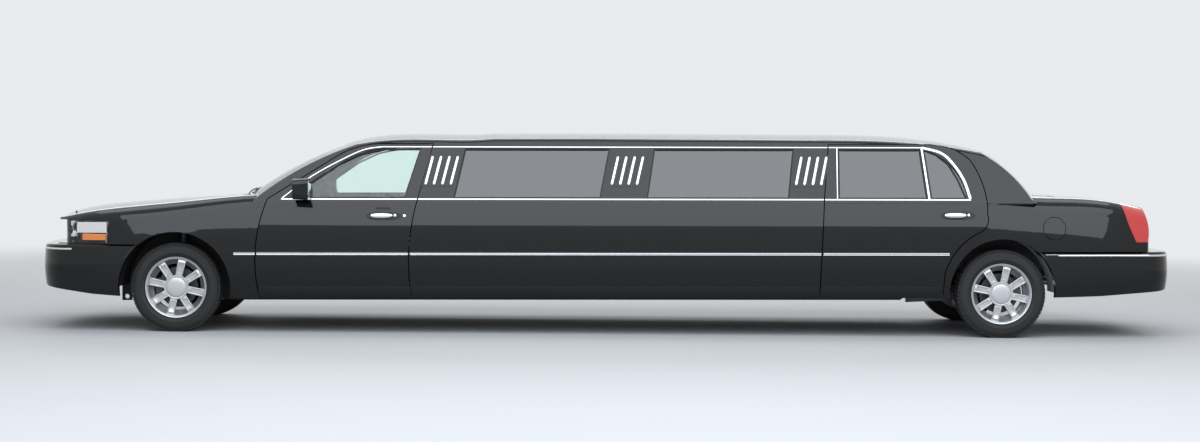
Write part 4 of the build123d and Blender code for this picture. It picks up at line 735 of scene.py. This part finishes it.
def insetLoop(corners, inset):
    found = []
    n = len(corners)
    middle = Vector((sum(c[0] for c in corners) / n, sum(c[1] for c in corners) / n))
    for i, c in enumerate(corners):
        a, b, d = Vector(corners[i - 1]), Vector(c), Vector(corners[(i + 1) % n])
        first, second = (b - a).normalized(), (d - b).normalized()
        inward = (Vector((-first.y, first.x)) + Vector((-second.y, second.x))).normalized()
        if (middle - b).dot(inward) < 0:
            inward.negate()
        found.append(b + inward * inset)
    return found


def looped(corners, gap=40):
    path = evenPath(list(corners) + [corners[0]], gap)
    return path[:-1]


for side, hand in sides:
    for run, loops in windowFaces.items():
        parts = []
        for loop in loops:
            path = looped(insetLoop(loop, 5.0))
            points = [wallPoint(x, z, hand, -9.0) for x, z in path]
            normals = [wallNormal(z, hand) for x, z in path]
            parts.append(sweep(points, normals, [(-6, -3), (-6, 5), (-3, 7), (4, 5), (6, -3)], True))
        meshPiece(f"windowSeal_{run}_{side}", *gather(parts), seal, carrier(run, side))

# Weather strips on the body, behind the gaps round the front door's window frame
gapSeal = {"depth": 21.0, "width": 24.0, "thick": 7.0, "past": 5.0}
frontCurve = smoothPath([(fx + 1205, 1327), (fx + 1370, 1402), (fx + 1560, 1428)])
frontEdge = [(fx + 703.5, 1010), (fx + 1205, 1327)] + frontCurve[1:]
gapShift = gapSeal["width"] / 2 - gapSeal["past"]
gapRuns = (
    (frontEdge + [(bTop - 40, 1428)], -gapShift),
    ([(bBelt, 1010), (bTop, 1420)], gapShift),
)
for side, hand in sides:
    strips = []
    for corners, shift in gapRuns:
        path = evenPath(corners, 40)
        points, normals = [], []
        for i, spot in enumerate(path):
            before, after = path[max(i - 1, 0)], path[min(i + 1, len(path) - 1)]
            run = (Vector(after[:2]) - Vector(before[:2])).normalized()
            # square to the gap, toward the tail along the upright gap and down from the sloping one
            beside = Vector((run.y, -run.x)) * shift
            points.append(wallPoint(spot[0] + beside.x, spot[1] + beside.y, hand, -gapSeal["depth"]))
            normals.append(wallNormal(spot[1], hand))
        half, foot = gapSeal["width"] / 2, -gapSeal["thick"]
        strips.append(sweep(points, normals, [(-half, foot), (-half, 0), (half, 0), (half, foot)]))
    meshPiece(f"gapSeal_{side}", *gather(strips), seal, "chassis")

# Mirror sail: a black plate in the front corner of the front door's window
sailCorners = [(fx + 838.0, 1022.0), (fx + 1040.0, 1022.0), (fx + 1018.0, 1152.0)]
for side, hand in sides:
    layers = []
    for inset, out in ((0.0, -9.0), (0.0, 1.2), (1.5, 2.2)):
        shape = insetLoop(sailCorners, inset) if inset else sailCorners
        layers.append([wallPoint(c[0], c[1], hand, out) for c in shape])
    meshPiece(f"mirrorSail_{side}", *loftRings(layers), plastic, f"front_door_{side}")

# Bright window frames on the rear door: the front edge and the divider before the quarter glass
doorBars = (
    # width, foot and head
    (9.0, (rx - 1262, 1016), (rx - 1247, 1402)),
    (17.0, (rx - 559, 1016), (rx - 593, 1402)),
)
for side, hand in sides:
    bars = []
    for width, low, high in doorBars:
        path = evenPath([low, high], 60)
        points = [wallPoint(x, z, hand) for x, z in path]
        bars.append(sweep(points, [wallNormal(z, hand) for x, z in path], roundBar(width, 4.0)))
    meshPiece(f"windowBars_{side}", *gather(bars), chrome, f"rear_door_{side}")

# Louvre bars on the pillars: domed chrome bars with round ends on a dark base
louvre = {"pitch": 64.0, "width": 23.0, "stand": 9.0, "low": 1118.0, "high": 1338.0, "lean": 53.0}
louvreGroups = (bTop - 8, stretchMid - 49, cTop - 226)


def louvreBar(hand):
    path, normals, widths = [], [], []
    length = louvre["high"] - louvre["low"]
    steps = 24
    for i in range(steps + 1):
        t = 0.5 - 0.5 * cos(pi * i / steps)
        z = louvre["low"] + length * t
        x = -louvre["lean"] + louvre["lean"] * t + louvre["width"] / 2
        path.append(wallPoint(x, z, hand) - wallPoint(0, louvre["low"], hand))
        normals.append(wallNormal(z, hand))
        reach = min(t, 1 - t) * hypot(length, louvre["lean"])
        full = louvre["width"] / 2
        widths.append(sqrt(max(1 - (1 - min(reach / full, 1)) ** 2, 0.0004)))
    rings = []
    run = (path[-1] - path[0]).normalized()
    for point, normal, wide in zip(path, normals, widths):
        out = (normal - run * normal.dot(run)).normalized()
        across = out.cross(run)
        section = roundBar(louvre["width"] * wide, louvre["stand"] * wide, 10, 1.0)
        rings.append([point + across * (a / 1000) + out * (o / 1000) for a, o in section])
    return loftRings(rings)


for side, hand in sides:
    for index, start in enumerate(louvreGroups):
        spot = wallPoint(start, louvre["low"], hand)
        step = (louvre["pitch"] * cos(rake) / 1000, 0, louvre["pitch"] * sin(rake) / 1000)
        bars = repeated(
            f"louvreBars_{index}_{side}", louvreBar(hand), chrome, "chassis", 4, step=step,
            moved=Matrix.Translation(spot), sharp=60,
        )
        low, high = louvre["low"] - 12, louvre["high"] + 12
        foot = start - louvre["lean"]
        feet = [foot - 14, foot + 3 * louvre["pitch"] + louvre["width"] + 14]
        reach = louvre["lean"] * 24 / 220
        corners = [
            (feet[0] - reach / 2, low), (feet[1] - reach / 2, low),
            (feet[1] + louvre["lean"] + reach / 2, high), (feet[0] + louvre["lean"] + reach / 2, high),
        ]
        columns = []
        for i in range(13):
            t = i / 12
            a = Vector(corners[0]).lerp(Vector(corners[3]), t)
            b = Vector(corners[1]).lerp(Vector(corners[2]), t)
            columns.append([
                wallPoint(x, z, hand, out)
                for x, z, out in (
                    (a.x, a.y, -1.0), (a.x, a.y, 0.8), (a.x + 3, a.y, 2.0),
                    (b.x - 3, b.y, 2.0), (b.x, b.y, 0.8), (b.x, b.y, -1.0),
                )
            ])
        meshPiece(f"louvreBase_{index}_{side}", *loftRings(columns), paint, "chassis")
    if side == "left":
        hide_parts("pillar_louvres")
print("stage: louvres and window frames")


# Places on the CAD's own skin
def skinOf(*names):
    trees = []
    for name in names:
        mesh = nodes[name].data
        points, faces = [v.co[:] for v in mesh.vertices], [p.vertices[:] for p in mesh.polygons]
        trees.append(BVHTree.FromPolygons(points, faces))
    return trees


def cast(trees, start, direction):
    best = None
    for tree in trees:
        point, normal, index, distance = tree.ray_cast(start, direction)
        if point is not None and (best is None or distance < best[2]):
            best = (point, normal if normal.dot(direction) < 0 else -normal, distance)
    return best


def sideHit(trees, x, z, hand):
    target = tipped(x, 0, z)
    return cast(trees, Vector((target.x, hand * 1.4, target.z)), Vector((0, -hand, 0)))


def castStrip(trees, starts, directions):
    # points and normals of the skin under each ray that meets it
    points, normals = [], []
    for start, direction in zip(starts, directions):
        hit = cast(trees, start, direction)
        if hit:
            points.append(hit[0])
            normals.append(hit[1])
    return points, normals


def eased(vectors, reach=2):
    found = []
    for i in range(len(vectors)):
        near = vectors[max(i - reach, 0):i + reach + 1]
        found.append((sum(near, Vector()) / len(near)).normalized())
    return found


def sheetSolid(grid, thickness, inwardOf):
    # closes a grid of points into a thin solid
    rows = len(grid[0])
    front = [p for row in grid for p in row]
    back = [p + inwardOf * thickness / 1000 for p in front]
    n = len(front)
    points = front + back
    faces = []
    for i in range(len(grid) - 1):
        for j in range(rows - 1):
            a = i * rows + j
            faces.append([a, a + 1, a + rows + 1, a + rows])
            faces.append([n + a, n + a + rows, n + a + rows + 1, n + a + 1])
    edge = list(range(rows)) + [i * rows + rows - 1 for i in range(1, len(grid))]
    edge += [(len(grid) - 1) * rows + j for j in range(rows - 2, -1, -1)]
    edge += [i * rows for i in range(len(grid) - 2, 0, -1)]
    for a, b in zip(edge, edge[1:] + edge[:1]):
        faces.append([a, b, n + b, n + a])
    return points, faces


# Bumpers: chrome strips that wrap round the corners
frontBumper, rearBumper = skinOf("front_bumper"), skinOf("rear_bumper")


def bumperStrip(name, trees, middleX, height, start, stop, width, stand, material, count=140, reachX=None):
    # rays toward the car, fanned round its end in plan, and square to its sides as far as reachX
    starts, directions = [], []
    along = [] if reachX is None else [reachX + (middleX - reachX) * i / 20 for i in range(20)]
    for x in along:
        spot = tipped(x, 0, height)
        starts.append(Vector((spot.x, -1.6, spot.z)))
        directions.append(Vector((0, 1, 0)))
    for i in range(count + 1):
        angle = radians(start + (stop - start) * i / count)
        aim = tipped(middleX, 0, height)
        out = Vector((cos(angle), sin(angle), 0))
        starts.append(Vector((aim.x, 0, aim.z)) + Vector((out.x * 2.2, out.y * 2.2, 0)))
        directions.append(-out)
    for x in reversed(along):
        spot = tipped(x, 0, height)
        starts.append(Vector((spot.x, 1.6, spot.z)))
        directions.append(Vector((0, -1, 0)))
    points, normals = castStrip(trees, starts, directions)
    flat = [Vector((n.x, n.y, 0.12)).normalized() for n in eased(normals, 3)]
    return meshPiece(name, *sweep(points, flat, roundBar(width, stand, 6, 3.0)), material, "chassis")


bumperStrip("bumperTrim_front", frontBumper, fx - 600, 628, 101, 259, 15.0, 6.0, chrome)
bumperStrip("bumperTrim_rear", rearBumper, rx + 800, 588, -86, 86, 17.0, 7.0, chrome, reachX=rx + 424.0)
bumperStrip("bumperLine_rear", rearBumper, rx + 800, 594, -86, 86, 5.0, 2.5, chrome, reachX=rx + 326.0)
print("stage: bumper strips")

# The foot of each rear pillar is blended into the quarter's shoulder
quarterSkin = skinOf("rear_quarters")
pillarFoot = {"from": rx - 96.0, "to": rx + 262.0, "low": 972.0, "high": 1012.0}
for side, hand in sides:
    grid = []
    for i in range(31):
        x = pillarFoot["from"] + (pillarFoot["to"] - pillarFoot["from"]) * i / 30
        low, high = (sideHit(quarterSkin, x, pillarFoot[k], hand) for k in ("low", "high"))
        if low is None or high is None or abs(low[0].y - high[0].y) > 0.12:
            continue
        row = []
        for j in range(9):
            t = j / 8
            bulge = 0.0024 * sin(pi * t) + 0.0006
            row.append(low[0].lerp(high[0], t) + Vector((0, hand * bulge, 0)))
        grid.append(row)
    meshPiece(f"pillarFoot_{side}", *sheetSolid(grid, 5.0, Vector((0, -hand, 0))), paint, "chassis", 60)

# Door handles: a chrome pull in a dark bowl, and a keypad on the front doors
handleTable = (
    # door, place along the car and up, length
    ("front_door", -1695.0, 885.0, 250.0),
    ("rear_door", 2664.0, 892.0, 250.0),
)
# half length added, half height, stand off the wall
handleBowl = ((7, 33, 0.2), (4, 30, 1.6), (-2, 26, 1.2), (-14, 17, 0.4))
handlePull = (
    (0, 20, 1.0), (0, 20, 6.0), (-2, 18.5, 13.0), (-7, 14.5, 18.0), (-18, 8.5, 20.0), (-48, 3.0, 20.8),
)
keypad = {"x": -1700.0, "z": 946.0, "firstKey": -1742.0, "pitch": 21, "keys": 5}


def ovalRing(x, z, hand, half, rise, out, steps=28, power=2.6):
    ring = []
    for i in range(steps):
        angle = 2 * pi * i / steps
        c, s = cos(angle), sin(angle)
        dx = half * (abs(c) ** (2 / power)) * (1 if c >= 0 else -1)
        dz = rise * (abs(s) ** (2 / power)) * (1 if s >= 0 else -1)
        ring.append(wallPoint(x + dx, z + dz, hand, out))
    return ring


for side, hand in sides:
    for run, x, z, length in handleTable:
        body = f"{run}_{side}"
        bowl = [ovalRing(x, z, hand, length / 2 + grow, rise, out) for grow, rise, out in handleBowl]
        meshPiece(f"handleBowl_{run}_{side}", *loftRings(bowl), seal, body, 50)
        middle, half = x - 18.0, length / 2 - 38.0
        pull = [ovalRing(middle, z, hand, half + grow, rise, out) for grow, rise, out in handlePull]
        meshPiece(f"handlePull_{run}_{side}", *loftRings(pull), chrome, body, 60)
        layers = ((11, 13, 1.0), (11, 13, 8.0), (8, 9.5, 11.0))
        cap = [ovalRing(x + 84, z + 2, hand, w, h, o, 24, 2.2) for w, h, o in layers]
        meshPiece(f"handleCap_{run}_{side}", *loftRings(cap), chrome, body, 50)
        if run == "front_door":
            layers = ((10, 0.2), (10, 2.2), (8.5, 3.0), (4, 3.2))
            lock = [ovalRing(x + length / 2 + 30, z, hand, r, r, o, 24, 2.0) for r, o in layers]
            meshPiece(f"doorLock_{side}", *loftRings(lock), chrome, body, 50)
    layers = ((58, 12.5, 0.2), (58, 12.5, 2.2), (56.5, 11, 3.0))
    pad = [ovalRing(keypad["x"], keypad["z"], hand, r, h, o, 32, 7.0) for r, h, o in layers]
    layers = ((8.2, 2.8), (8.2, 4.0), (7.0, 4.6))
    meshPiece(f"keypad_{side}", *loftRings(pad), plastic, f"front_door_{side}", 50)
    keys = []
    for k in range(keypad["keys"]):
        x = keypad["firstKey"] + keypad["pitch"] * k
        keys.append(loftRings([ovalRing(x, keypad["z"], hand, r, r, o, 16, 3.5) for r, o in layers]))
    meshPiece(f"keypadKeys_{side}", *gather(keys), seal, f"front_door_{side}", 50)
print("stage: door handles")

# Mirrors: silvered glass in its rear face with a dark edge
mirrorPlace = {"x": fx + 1025.0, "y": 1035.0, "z": 1088.0, "size": (178.0, 136.0)}


def roundedRing(centre, size, radius, steps=6):
    # rounded rectangle in the (y, z) plane
    ring = []
    for cy, cz, start in ((1, 1, 0), (-1, 1, 90), (-1, -1, 180), (1, -1, 270)):
        for i in range(steps + 1):
            angle = radians(start + 90 * i / steps)
            y = cy * (size[0] / 2 - radius) + radius * cos(angle)
            z = cz * (size[1] / 2 - radius) + radius * sin(angle)
            ring.append((centre[0] + y, centre[1] + z))
    return ring


def facePlate(x, y, z, size, radius, layers):
    # stacked rounded rectangles square to the car's length: (grow, forward) pairs
    rings = []
    for grow, forward in layers:
        shape = roundedRing((y, z), (size[0] + 2 * grow, size[1] + 2 * grow), max(radius + grow, 1.0))
        rings.append([tipped(x + forward, a, b) for a, b in shape])
    return loftRings(rings)


for side, hand in sides:
    m = mirrorPlace
    body = f"front_door_{side}"
    edge = facePlate(m["x"], hand * m["y"], m["z"], m["size"], 30, [(5, -1), (5, 2.0), (3, 3.0), (0, 3.0)])
    meshPiece(f"mirrorEdge_{side}", *edge, seal, body)
    glassFace = facePlate(m["x"], hand * m["y"], m["z"], m["size"], 28, [(0, 0), (0, 3.6), (-2, 4.2)])
    meshPiece(f"mirrorGlass_{side}", *glassFace, silvered, body)

# Headlamps: bowls and bulbs behind the clear lens, an amber marker low at the side
lampSkin = skinOf("headlamps")


def lampPatch(hand, corners, depth, columns=14, rows=5):
    # a sheet of the lens's own shape, set in by depth: corners are (x, low z, high z)
    grid = []
    for i in range(columns + 1):
        t = i / columns * (len(corners) - 1)
        k = min(int(t), len(corners) - 2)
        a, b = Vector(corners[k]), Vector(corners[k + 1])
        x, low, high = a.lerp(b, t - k)
        row = []
        for j in range(rows + 1):
            hit = sideHit(lampSkin, x, low + (high - low) * j / rows, hand)
            if hit is None:
                break
            row.append(hit[0] - hit[1] * depth / 1000)
        if len(row) == rows + 1:
            grid.append(row)
    return grid


for side, hand in sides:
    inward = Vector((0.3, -hand * 0.95, 0))
    marker = lampPatch(hand, [(-3985.0, 697, 746), (-3800.0, 697, 744)], 4.0)
    if len(marker) > 2:
        meshPiece(f"lampAmber_{side}", *sheetSolid(marker, 10.0, inward), amber, "chassis")
    bowl = lampPatch(hand, [(-4040.0, 752, 832), (-3800.0, 752, 834)], 26.0)
    if len(bowl) > 2:
        meshPiece(f"lampBowl_{side}", *sheetSolid(bowl, 8.0, inward), reflector, "chassis")
    lights = []
    for dx, dy, r in ((-4140, 560, 58), (-4105, 700, 54)):
        spot = tipped(dx, hand * dy, 768)
        ring = [
            (0, 34), (0.35 * r, 30), (0.7 * r, 16), (r, -8), (r + 3, -6), (r + 3, 2), (0.5 * r, 40), (0, 44),
        ]
        rings = []
        for i in range(40):
            a = 2 * pi * i / 40
            rings.append([spot + Vector((o, q * cos(a), q * sin(a))) / 1000 for q, o in ring])
        lights.append(loftRings(rings, True))
    meshPiece(f"lampReflectors_{side}", *gather(lights), reflector, "chassis")
print("stage: mirrors and headlamps")

# Grille: fine dark mesh behind the bars
mesh = facePlate(fx - 830.0, 0, 768, (650.0, 150.0), 14, [(0, 0), (0, 4)])
meshPiece("grilleBack", *mesh, plastic, "chassis")

# Rear plate: blank, in a slim chrome frame
boot = skinOf("boot_lid")


def plateAt(name, x, z, outward, size, body):
    plate = facePlate(x, 0, z, size, 10, [(0, 0), (0, 2.4 * outward), (-2, 3.0 * outward)])
    meshPiece(name, *plate, blank, body)
    ring = roundedRing((0, z), (size[0] + 6, size[1] + 6), 13)
    path = [tipped(x + 1.5 * outward, a, b) for a, b in ring]
    section = [(-5, -2), (-5, 2.6), (-2, 4.6), (3, 3.6), (5, -2)]
    border = sweep(path, [Vector((outward, 0, 0))] * len(path), section, True)
    meshPiece(name + "Frame", *border, chrome, body)


plateHeight = 800
rearHit = cast(boot, tipped(5200, 0, plateHeight), Vector((-1, 0, 0)))
plateAt("plateRear", rearHit[0].x * 1000 + 3.0, plateHeight, 1, (310.0, 154.0), "boot_lid")
print("stage: plates and grille back")

# Sill covers below the crease, one to each panel
sill = {"low": 266.0, "high": 350.0, "stand": 5.0}
sillRuns = (
    ("front_door", fx + 650.0, bLow + 14.0),
    ("stretch", bLow + 34.0, cLow - 30.0),
    ("rear_door", cLow - 8.0, rx - 464.0),
)
for side, hand in sides:
    for run, start, stop in sillRuns:
        columns = []
        path = evenPath([(start, 0), (stop, 0)], 80)
        low, high, stand = sill["low"], sill["high"], sill["stand"]
        for p in path:
            column = []
            for z, out in (
                (low, -2), (low, 3.5), (low + 4, stand), (high - 6, stand),
                (high - 1.5, stand - 1.5), (high, 0.5), (high, -2),
            ):
                column.append(wallPoint(p.x, z, hand, out))
            columns.append(column)
        meshPiece(f"sillCover_{run}_{side}", *loftRings(columns), paint, carrier(run, side))

# Wipers parked along the foot of the windscreen
screenSkin = skinOf("windscreen", "windscreen_frame", "hood", "engine_bay")
wiperTable = (("wiperLeft", -560.0, 40.0, 620.0), ("wiperRight", 60.0, 640.0, 560.0))


def onScreen(x, y, lift):
    hit = cast(screenSkin, tipped(x, y, 2200), Vector((0, 0, -1)))
    return hit[0] + hit[1] * lift / 1000


for name, start, stop, length in wiperTable:
    blade, arm = [], []
    for i in range(17):
        t = i / 16
        y = start + (stop - start) * t
        x = fx + 520 + 60 * (y / 700) ** 2 + 26 * t
        blade.append(onScreen(x, y, 7.0))
    for i in range(9):
        t = i / 8
        y = start - 60 + ((start + stop) / 2 - start + 60) * t
        x = fx + 474 + 60 * (y / 700) ** 2 + 62 * t
        arm.append(onScreen(x, y, 14.0 + 10 * sin(pi * t)))
    meshPiece(name + "Blade", *tube(blade, 5.0, 8), seal, "chassis")
    meshPiece(name + "Arm", *tube(arm, 5.5, 8), plastic, "chassis")
print("stage: sills and wipers")

# Cabin: cushions in the seats' places, swollen by a cloth simulation and then sewn into channels
def cushionForm(size, radius, crown):
    m = bmesh.new()
    bmesh.ops.create_cube(m, size=1.0)
    bmesh.ops.subdivide_edges(m, edges=m.edges[:], cuts=11, use_grid_fill=True)
    half = [s / 2 for s in size]
    for v in m.verts:
        p = [v.co.x * 2, v.co.y * 2, v.co.z * 2]
        q = [c * h for c, h in zip(p, half)]
        core = [max(min(c, h - radius), radius - h) for c, h in zip(q, half)]
        away = Vector([a - b for a, b in zip(q, core)])
        if away.length > 0:
            away = away.normalized() * radius
        v.co = Vector(core) + away
        if v.co.z > 0:
            v.co.z += crown * (1 - p[0] ** 2) * (1 - p[1] ** 2)
    return m


def swollen(piece, voxel, limit):
    # cloth with pressure, each point held within the limit, then one subdivision
    remesh = piece.modifiers.new("remesh", "REMESH")
    remesh.mode = "VOXEL"
    remesh.voxel_size = voxel
    graph = bpy.context.evaluated_depsgraph_get()
    fine = bpy.data.meshes.new_from_object(piece.evaluated_get(graph))
    piece.modifiers.remove(remesh)
    piece.data = fine
    start = [v.co.copy() for v in fine.vertices]
    cloth = piece.modifiers.new("cloth", "CLOTH")
    cloth.settings.use_pressure = True
    cloth.settings.uniform_pressure_force = 4.0
    cloth.settings.effector_weights.gravity = 0.0
    cloth.settings.quality = 4
    cloth.point_cache.frame_start = 1
    cloth.point_cache.frame_end = 20
    for step in range(1, 21):
        bpy.context.scene.frame_set(step)
    graph = bpy.context.evaluated_depsgraph_get()
    soft = bpy.data.meshes.new_from_object(piece.evaluated_get(graph))
    piece.modifiers.remove(cloth)
    bpy.context.scene.frame_set(1)
    for v, p in zip(soft.vertices, start):
        away = v.co - p
        if away.length > limit:
            v.co = p + away.normalized() * limit
    piece.data = soft


def sewn(mesh, channels, depth):
    # pulls the upper face in along each channel, which runs along the car before the cushion is turned
    for v in mesh.vertices:
        if v.normal.z < 0.15:
            continue
        for at in channels:
            away = (v.co.y - at) / 0.009
            if abs(away) < 3:
                v.co.z -= depth * exp(-away * away)


# size in metres, corner radius, crown and the places of the sewn channels across the cushion
cushionTable = (
    ("frontSeat", (0.47, 0.50, 0.15), 0.05, 0.012, (-0.12, 0.0, 0.12)),
    ("frontBack", (0.56, 0.48, 0.12), 0.048, 0.014, (-0.11, 0.0, 0.11)),
    ("frontHead", (0.15, 0.26, 0.095), 0.04, 0.008, ()),
    ("benchSeat", (0.36, 0.58, 0.12), 0.045, 0.014, (-0.09, 0.09)),
    ("benchBack", (0.27, 0.58, 0.075), 0.034, 0.01, (-0.09, 0.09)),
    ("rearSeat", (0.47, 0.60, 0.13), 0.05, 0.016, (-0.15, 0.0, 0.15)),
    ("rearBack", (0.37, 0.60, 0.1), 0.045, 0.014, (-0.15, 0.0, 0.15)),
)
cushionKinds = {
    kind: {"size": size, "radius": radius, "crown": crown, "channels": channels}
    for kind, size, radius, crown, channels in cushionTable
}
cushionMeshes = {}
for kind, facts in cushionKinds.items():
    form = cushionForm(facts["size"], facts["radius"], facts["crown"])
    mesh = bpy.data.meshes.new(kind)
    form.to_mesh(mesh)
    form.free()
    model = linked(kind, mesh)
    swollen(model, 0.009, 0.022)
    smooth = model.modifiers.new("smooth", "SUBSURF")
    smooth.levels = 1
    smooth.render_levels = 1
    graph = bpy.context.evaluated_depsgraph_get()
    final = bpy.data.meshes.new_from_object(model.evaluated_get(graph))
    sewn(final, facts["channels"], 0.007)
    # the swollen form is brought back to the size it was cut for
    for axis in range(3):
        low = min(v.co[axis] for v in final.vertices)
        high = max(v.co[axis] for v in final.vertices)
        wanted = facts["size"][axis]
        for v in final.vertices:
            v.co[axis] = (v.co[axis] - (low + high) / 2) * wanted / (high - low)
    final.polygons.foreach_set("use_smooth", [True] * len(final.polygons))
    final.materials.clear()
    final.materials.append(leather)
    cushionMeshes[kind] = final
    bpy.data.objects.remove(model)
    print("stage: cushion", kind, len(final.vertices))


def paddedPiece(name, mesh):
    piece = linked(name, mesh)
    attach(piece, "chassis")
    return piece


def cushion(name, kind, centre, lean, spin=0.0):
    # lean tips the cushion about the car's width, spin turns it about its own upright first
    mesh = cushionMeshes[kind].copy()
    turn = Matrix.Rotation(radians(lean), 4, "Y") @ Matrix.Rotation(radians(spin), 4, "Z")
    mesh.transform(Matrix.Translation(tipped(*centre)) @ turn)
    return paddedPiece(name, mesh)


def solidPiece(name, centre, size, radius, material, lean=0.0):
    turn = Matrix.Rotation(radians(lean), 4, "Y")
    return meshPiece(name, *roundedBox(tipped(*centre), size, radius, 3, turn), material, "chassis")


seatX, floorTop = fx + 1360.0, 364.0
first = None
for side, hand in sides:
    y = hand * 485.0
    seat = cushion(f"seatCushion_{side}", "frontSeat", (seatX + 205, y, floorTop + 232), 3.5)
    cushion(f"seatBack_{side}", "frontBack", (seatX + 536, y, floorTop + 500), -77.0)
    cushion(f"seatHead_{side}", "frontHead", (seatX + 612, y, floorTop + 792), -79.0)
    solidPiece(f"seatBase_{side}", (seatX + 250, y, floorTop + 85), (470, 470, 160), 22, plastic)
    solidPiece(f"seatShell_{side}", (seatX + 590, y, floorTop + 430), (50, 470, 520), 22, trim, 13.0)
    first = first or seat
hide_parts("front_seats")

benchStart, benchStop = bBelt + 570.0, cBelt - 150.0
benchPitch = (benchStop - benchStart) / 4
firstBench = None
for index in range(4):
    x = benchStart + benchPitch * (index + 0.5)
    seat = cushion(f"benchSeat_{index}", "benchSeat", (x, -520, 672), 0.0, 90.0)
    back = cushionMeshes["benchBack"].copy()
    turn = Matrix.Rotation(radians(-70), 4, "X") @ Matrix.Rotation(radians(90), 4, "Z")
    back.transform(Matrix.Translation(tipped(x, -765, 835)) @ turn)
    paddedPiece(f"benchBack_{index}", back)
    firstBench = firstBench or seat
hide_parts("lounge_seats")
middle = (benchStart + benchStop) / 2
solidPiece("benchPlinth", (middle, -590, 487), (benchStop - benchStart, 500, 246), 12, carpet)
solidPiece("benchWall", (middle, -815, 660), (benchStop - benchStart, 60, 590), 16, trim)
for index, y in enumerate((-309, 309)):
    cushion(f"rearSeat_{index}", "rearSeat", (rx - 490, y, 660), 4.0)
    cushion(f"rearBack_{index}", "rearBack", (rx - 165, y, 890), -73.0)
solidPiece("rearPlinth", (rx - 480, 0, 548), (460, 1220, 110), 12, carpet)
print("stage: cabin")

# Stage: a pale floor that takes the background's tone far from the car
backgroundTone = (0.86, 0.87, 0.88)
floorMaterial = finishOf(
    "stageFloor", (0.5, 0.5, 0.5), 0.0, 0.75, specular=0.2, grain=(40.0, 0.05, 0.0), dark=0.985, light=1.01,
)
t = floorMaterial.node_tree
spot = t.nodes.new("ShaderNodeVectorMath")
spot.operation = "LENGTH"
t.links.new(t.nodes.new("ShaderNodeTexCoord").outputs["Object"], spot.inputs[0])
fade = t.nodes.new("ShaderNodeMapRange")
fade.interpolation_type = "SMOOTHSTEP"
fade.inputs["From Min"].default_value = 6.0
fade.inputs["From Max"].default_value = 16.0
t.links.new(spot.outputs["Value"], fade.inputs["Value"])
glow = t.nodes.new("ShaderNodeEmission")
glow.inputs["Color"].default_value = (*backgroundTone, 1)
glow.inputs["Strength"].default_value = 0.95
blend = t.nodes.new("ShaderNodeMixShader")
t.links.new(fade.outputs["Result"], blend.inputs["Fac"])
t.links.new(t.nodes["Principled BSDF"].outputs["BSDF"], blend.inputs[1])
t.links.new(glow.outputs["Emission"], blend.inputs[2])
t.links.new(blend.outputs["Shader"], t.nodes["Material Output"].inputs["Surface"])
ground = bpy.data.meshes.new("ground")
reach = 60.0
corners = [(-reach, -reach, 0), (reach, -reach, 0), (reach, reach, 0), (-reach, reach, 0)]
ground.from_pydata(corners, [], [(0, 1, 2, 3)])
ground.materials.append(floorMaterial)
groundPiece = linked("ground", ground)

world = bpy.data.worlds.new("studio")
bpy.context.scene.world = world
world.use_nodes = True
t = world.node_tree
background = t.nodes["Background"]
background.inputs["Color"].default_value = (0.86, 0.9, 1.0, 1)
background.inputs["Strength"].default_value = 0.25
shown = t.nodes.new("ShaderNodeBackground")
shown.inputs["Color"].default_value = (*backgroundTone, 1)
shown.inputs["Strength"].default_value = 0.95
rays = t.nodes.new("ShaderNodeLightPath")
seen = t.nodes.new("ShaderNodeMath")
seen.operation = "MAXIMUM"
t.links.new(rays.outputs["Is Camera Ray"], seen.inputs[0])
t.links.new(rays.outputs["Is Glossy Ray"], seen.inputs[1])
seenToo = t.nodes.new("ShaderNodeMath")
seenToo.operation = "MAXIMUM"
t.links.new(seen.outputs["Value"], seenToo.inputs[0])
t.links.new(rays.outputs["Is Transmission Ray"], seenToo.inputs[1])
pick = t.nodes.new("ShaderNodeMixShader")
t.links.new(seenToo.outputs["Value"], pick.inputs["Fac"])
t.links.new(background.outputs["Background"], pick.inputs[1])
t.links.new(shown.outputs["Background"], pick.inputs[2])
t.links.new(pick.outputs["Shader"], t.nodes["World Output"].inputs["Surface"])

lamps = (
    # place, aim, size along and across, watts, colour
    ("keyLight", (0.8, -7.25, 5.85), (0.8, -3.21, 0.13), (16.0, 9.2), 1350, (0.87, 0.93, 1.0)),
    ("topLight", (0.0, 1.5, 7.0), (0.0, 1.0, 0.0), (14.0, 3.0), 220, (0.96, 0.98, 1.0)),
    ("backLight", (0.0, 7.0, 5.0), (0.0, 4.5, 0.0), (16.0, 3.0), 420, (0.97, 0.98, 1.0)),
)
for name, place, aim, size, watts, colour in lamps:
    data = bpy.data.lights.new(name, "AREA")
    data.shape = "RECTANGLE"
    data.size, data.size_y = size
    data.energy = watts
    data.color = colour
    light = linked(name, data)
    light.location = place
    light.rotation_euler = (Vector(aim) - Vector(place)).to_track_quat("-Z", "Y").to_euler()

shot = {"place": (-0.3887, -17.172, 1.4055), "yaw": 1.153, "pitch": 1.887, "roll": 0.533, "focal": 2137.7}
yaw, pitch, roll = (radians(shot[k]) for k in ("yaw", "pitch", "roll"))
ahead = Vector((sin(yaw), cos(yaw), 0))
across = Vector((cos(yaw), -sin(yaw), 0))
above = Vector((0, 0, 1))
ahead, above = ahead * cos(pitch) - above * sin(pitch), above * cos(pitch) + ahead * sin(pitch)
across, above = across * cos(roll) + above * sin(roll), above * cos(roll) - across * sin(roll)
lens = bpy.data.cameras.new("camera")
lens.sensor_width = 36.0
lens.lens = 36.0 * shot["focal"] / 1200
camera = linked("camera", lens)
axes = Matrix((across, above, -ahead)).transposed().to_4x4()
camera.matrix_world = Matrix.Translation(shot["place"]) @ axes
bpy.context.scene.camera = camera
bpy.context.scene.view_settings.view_transform = "Standard"
print("stage: stage, lights and camera")
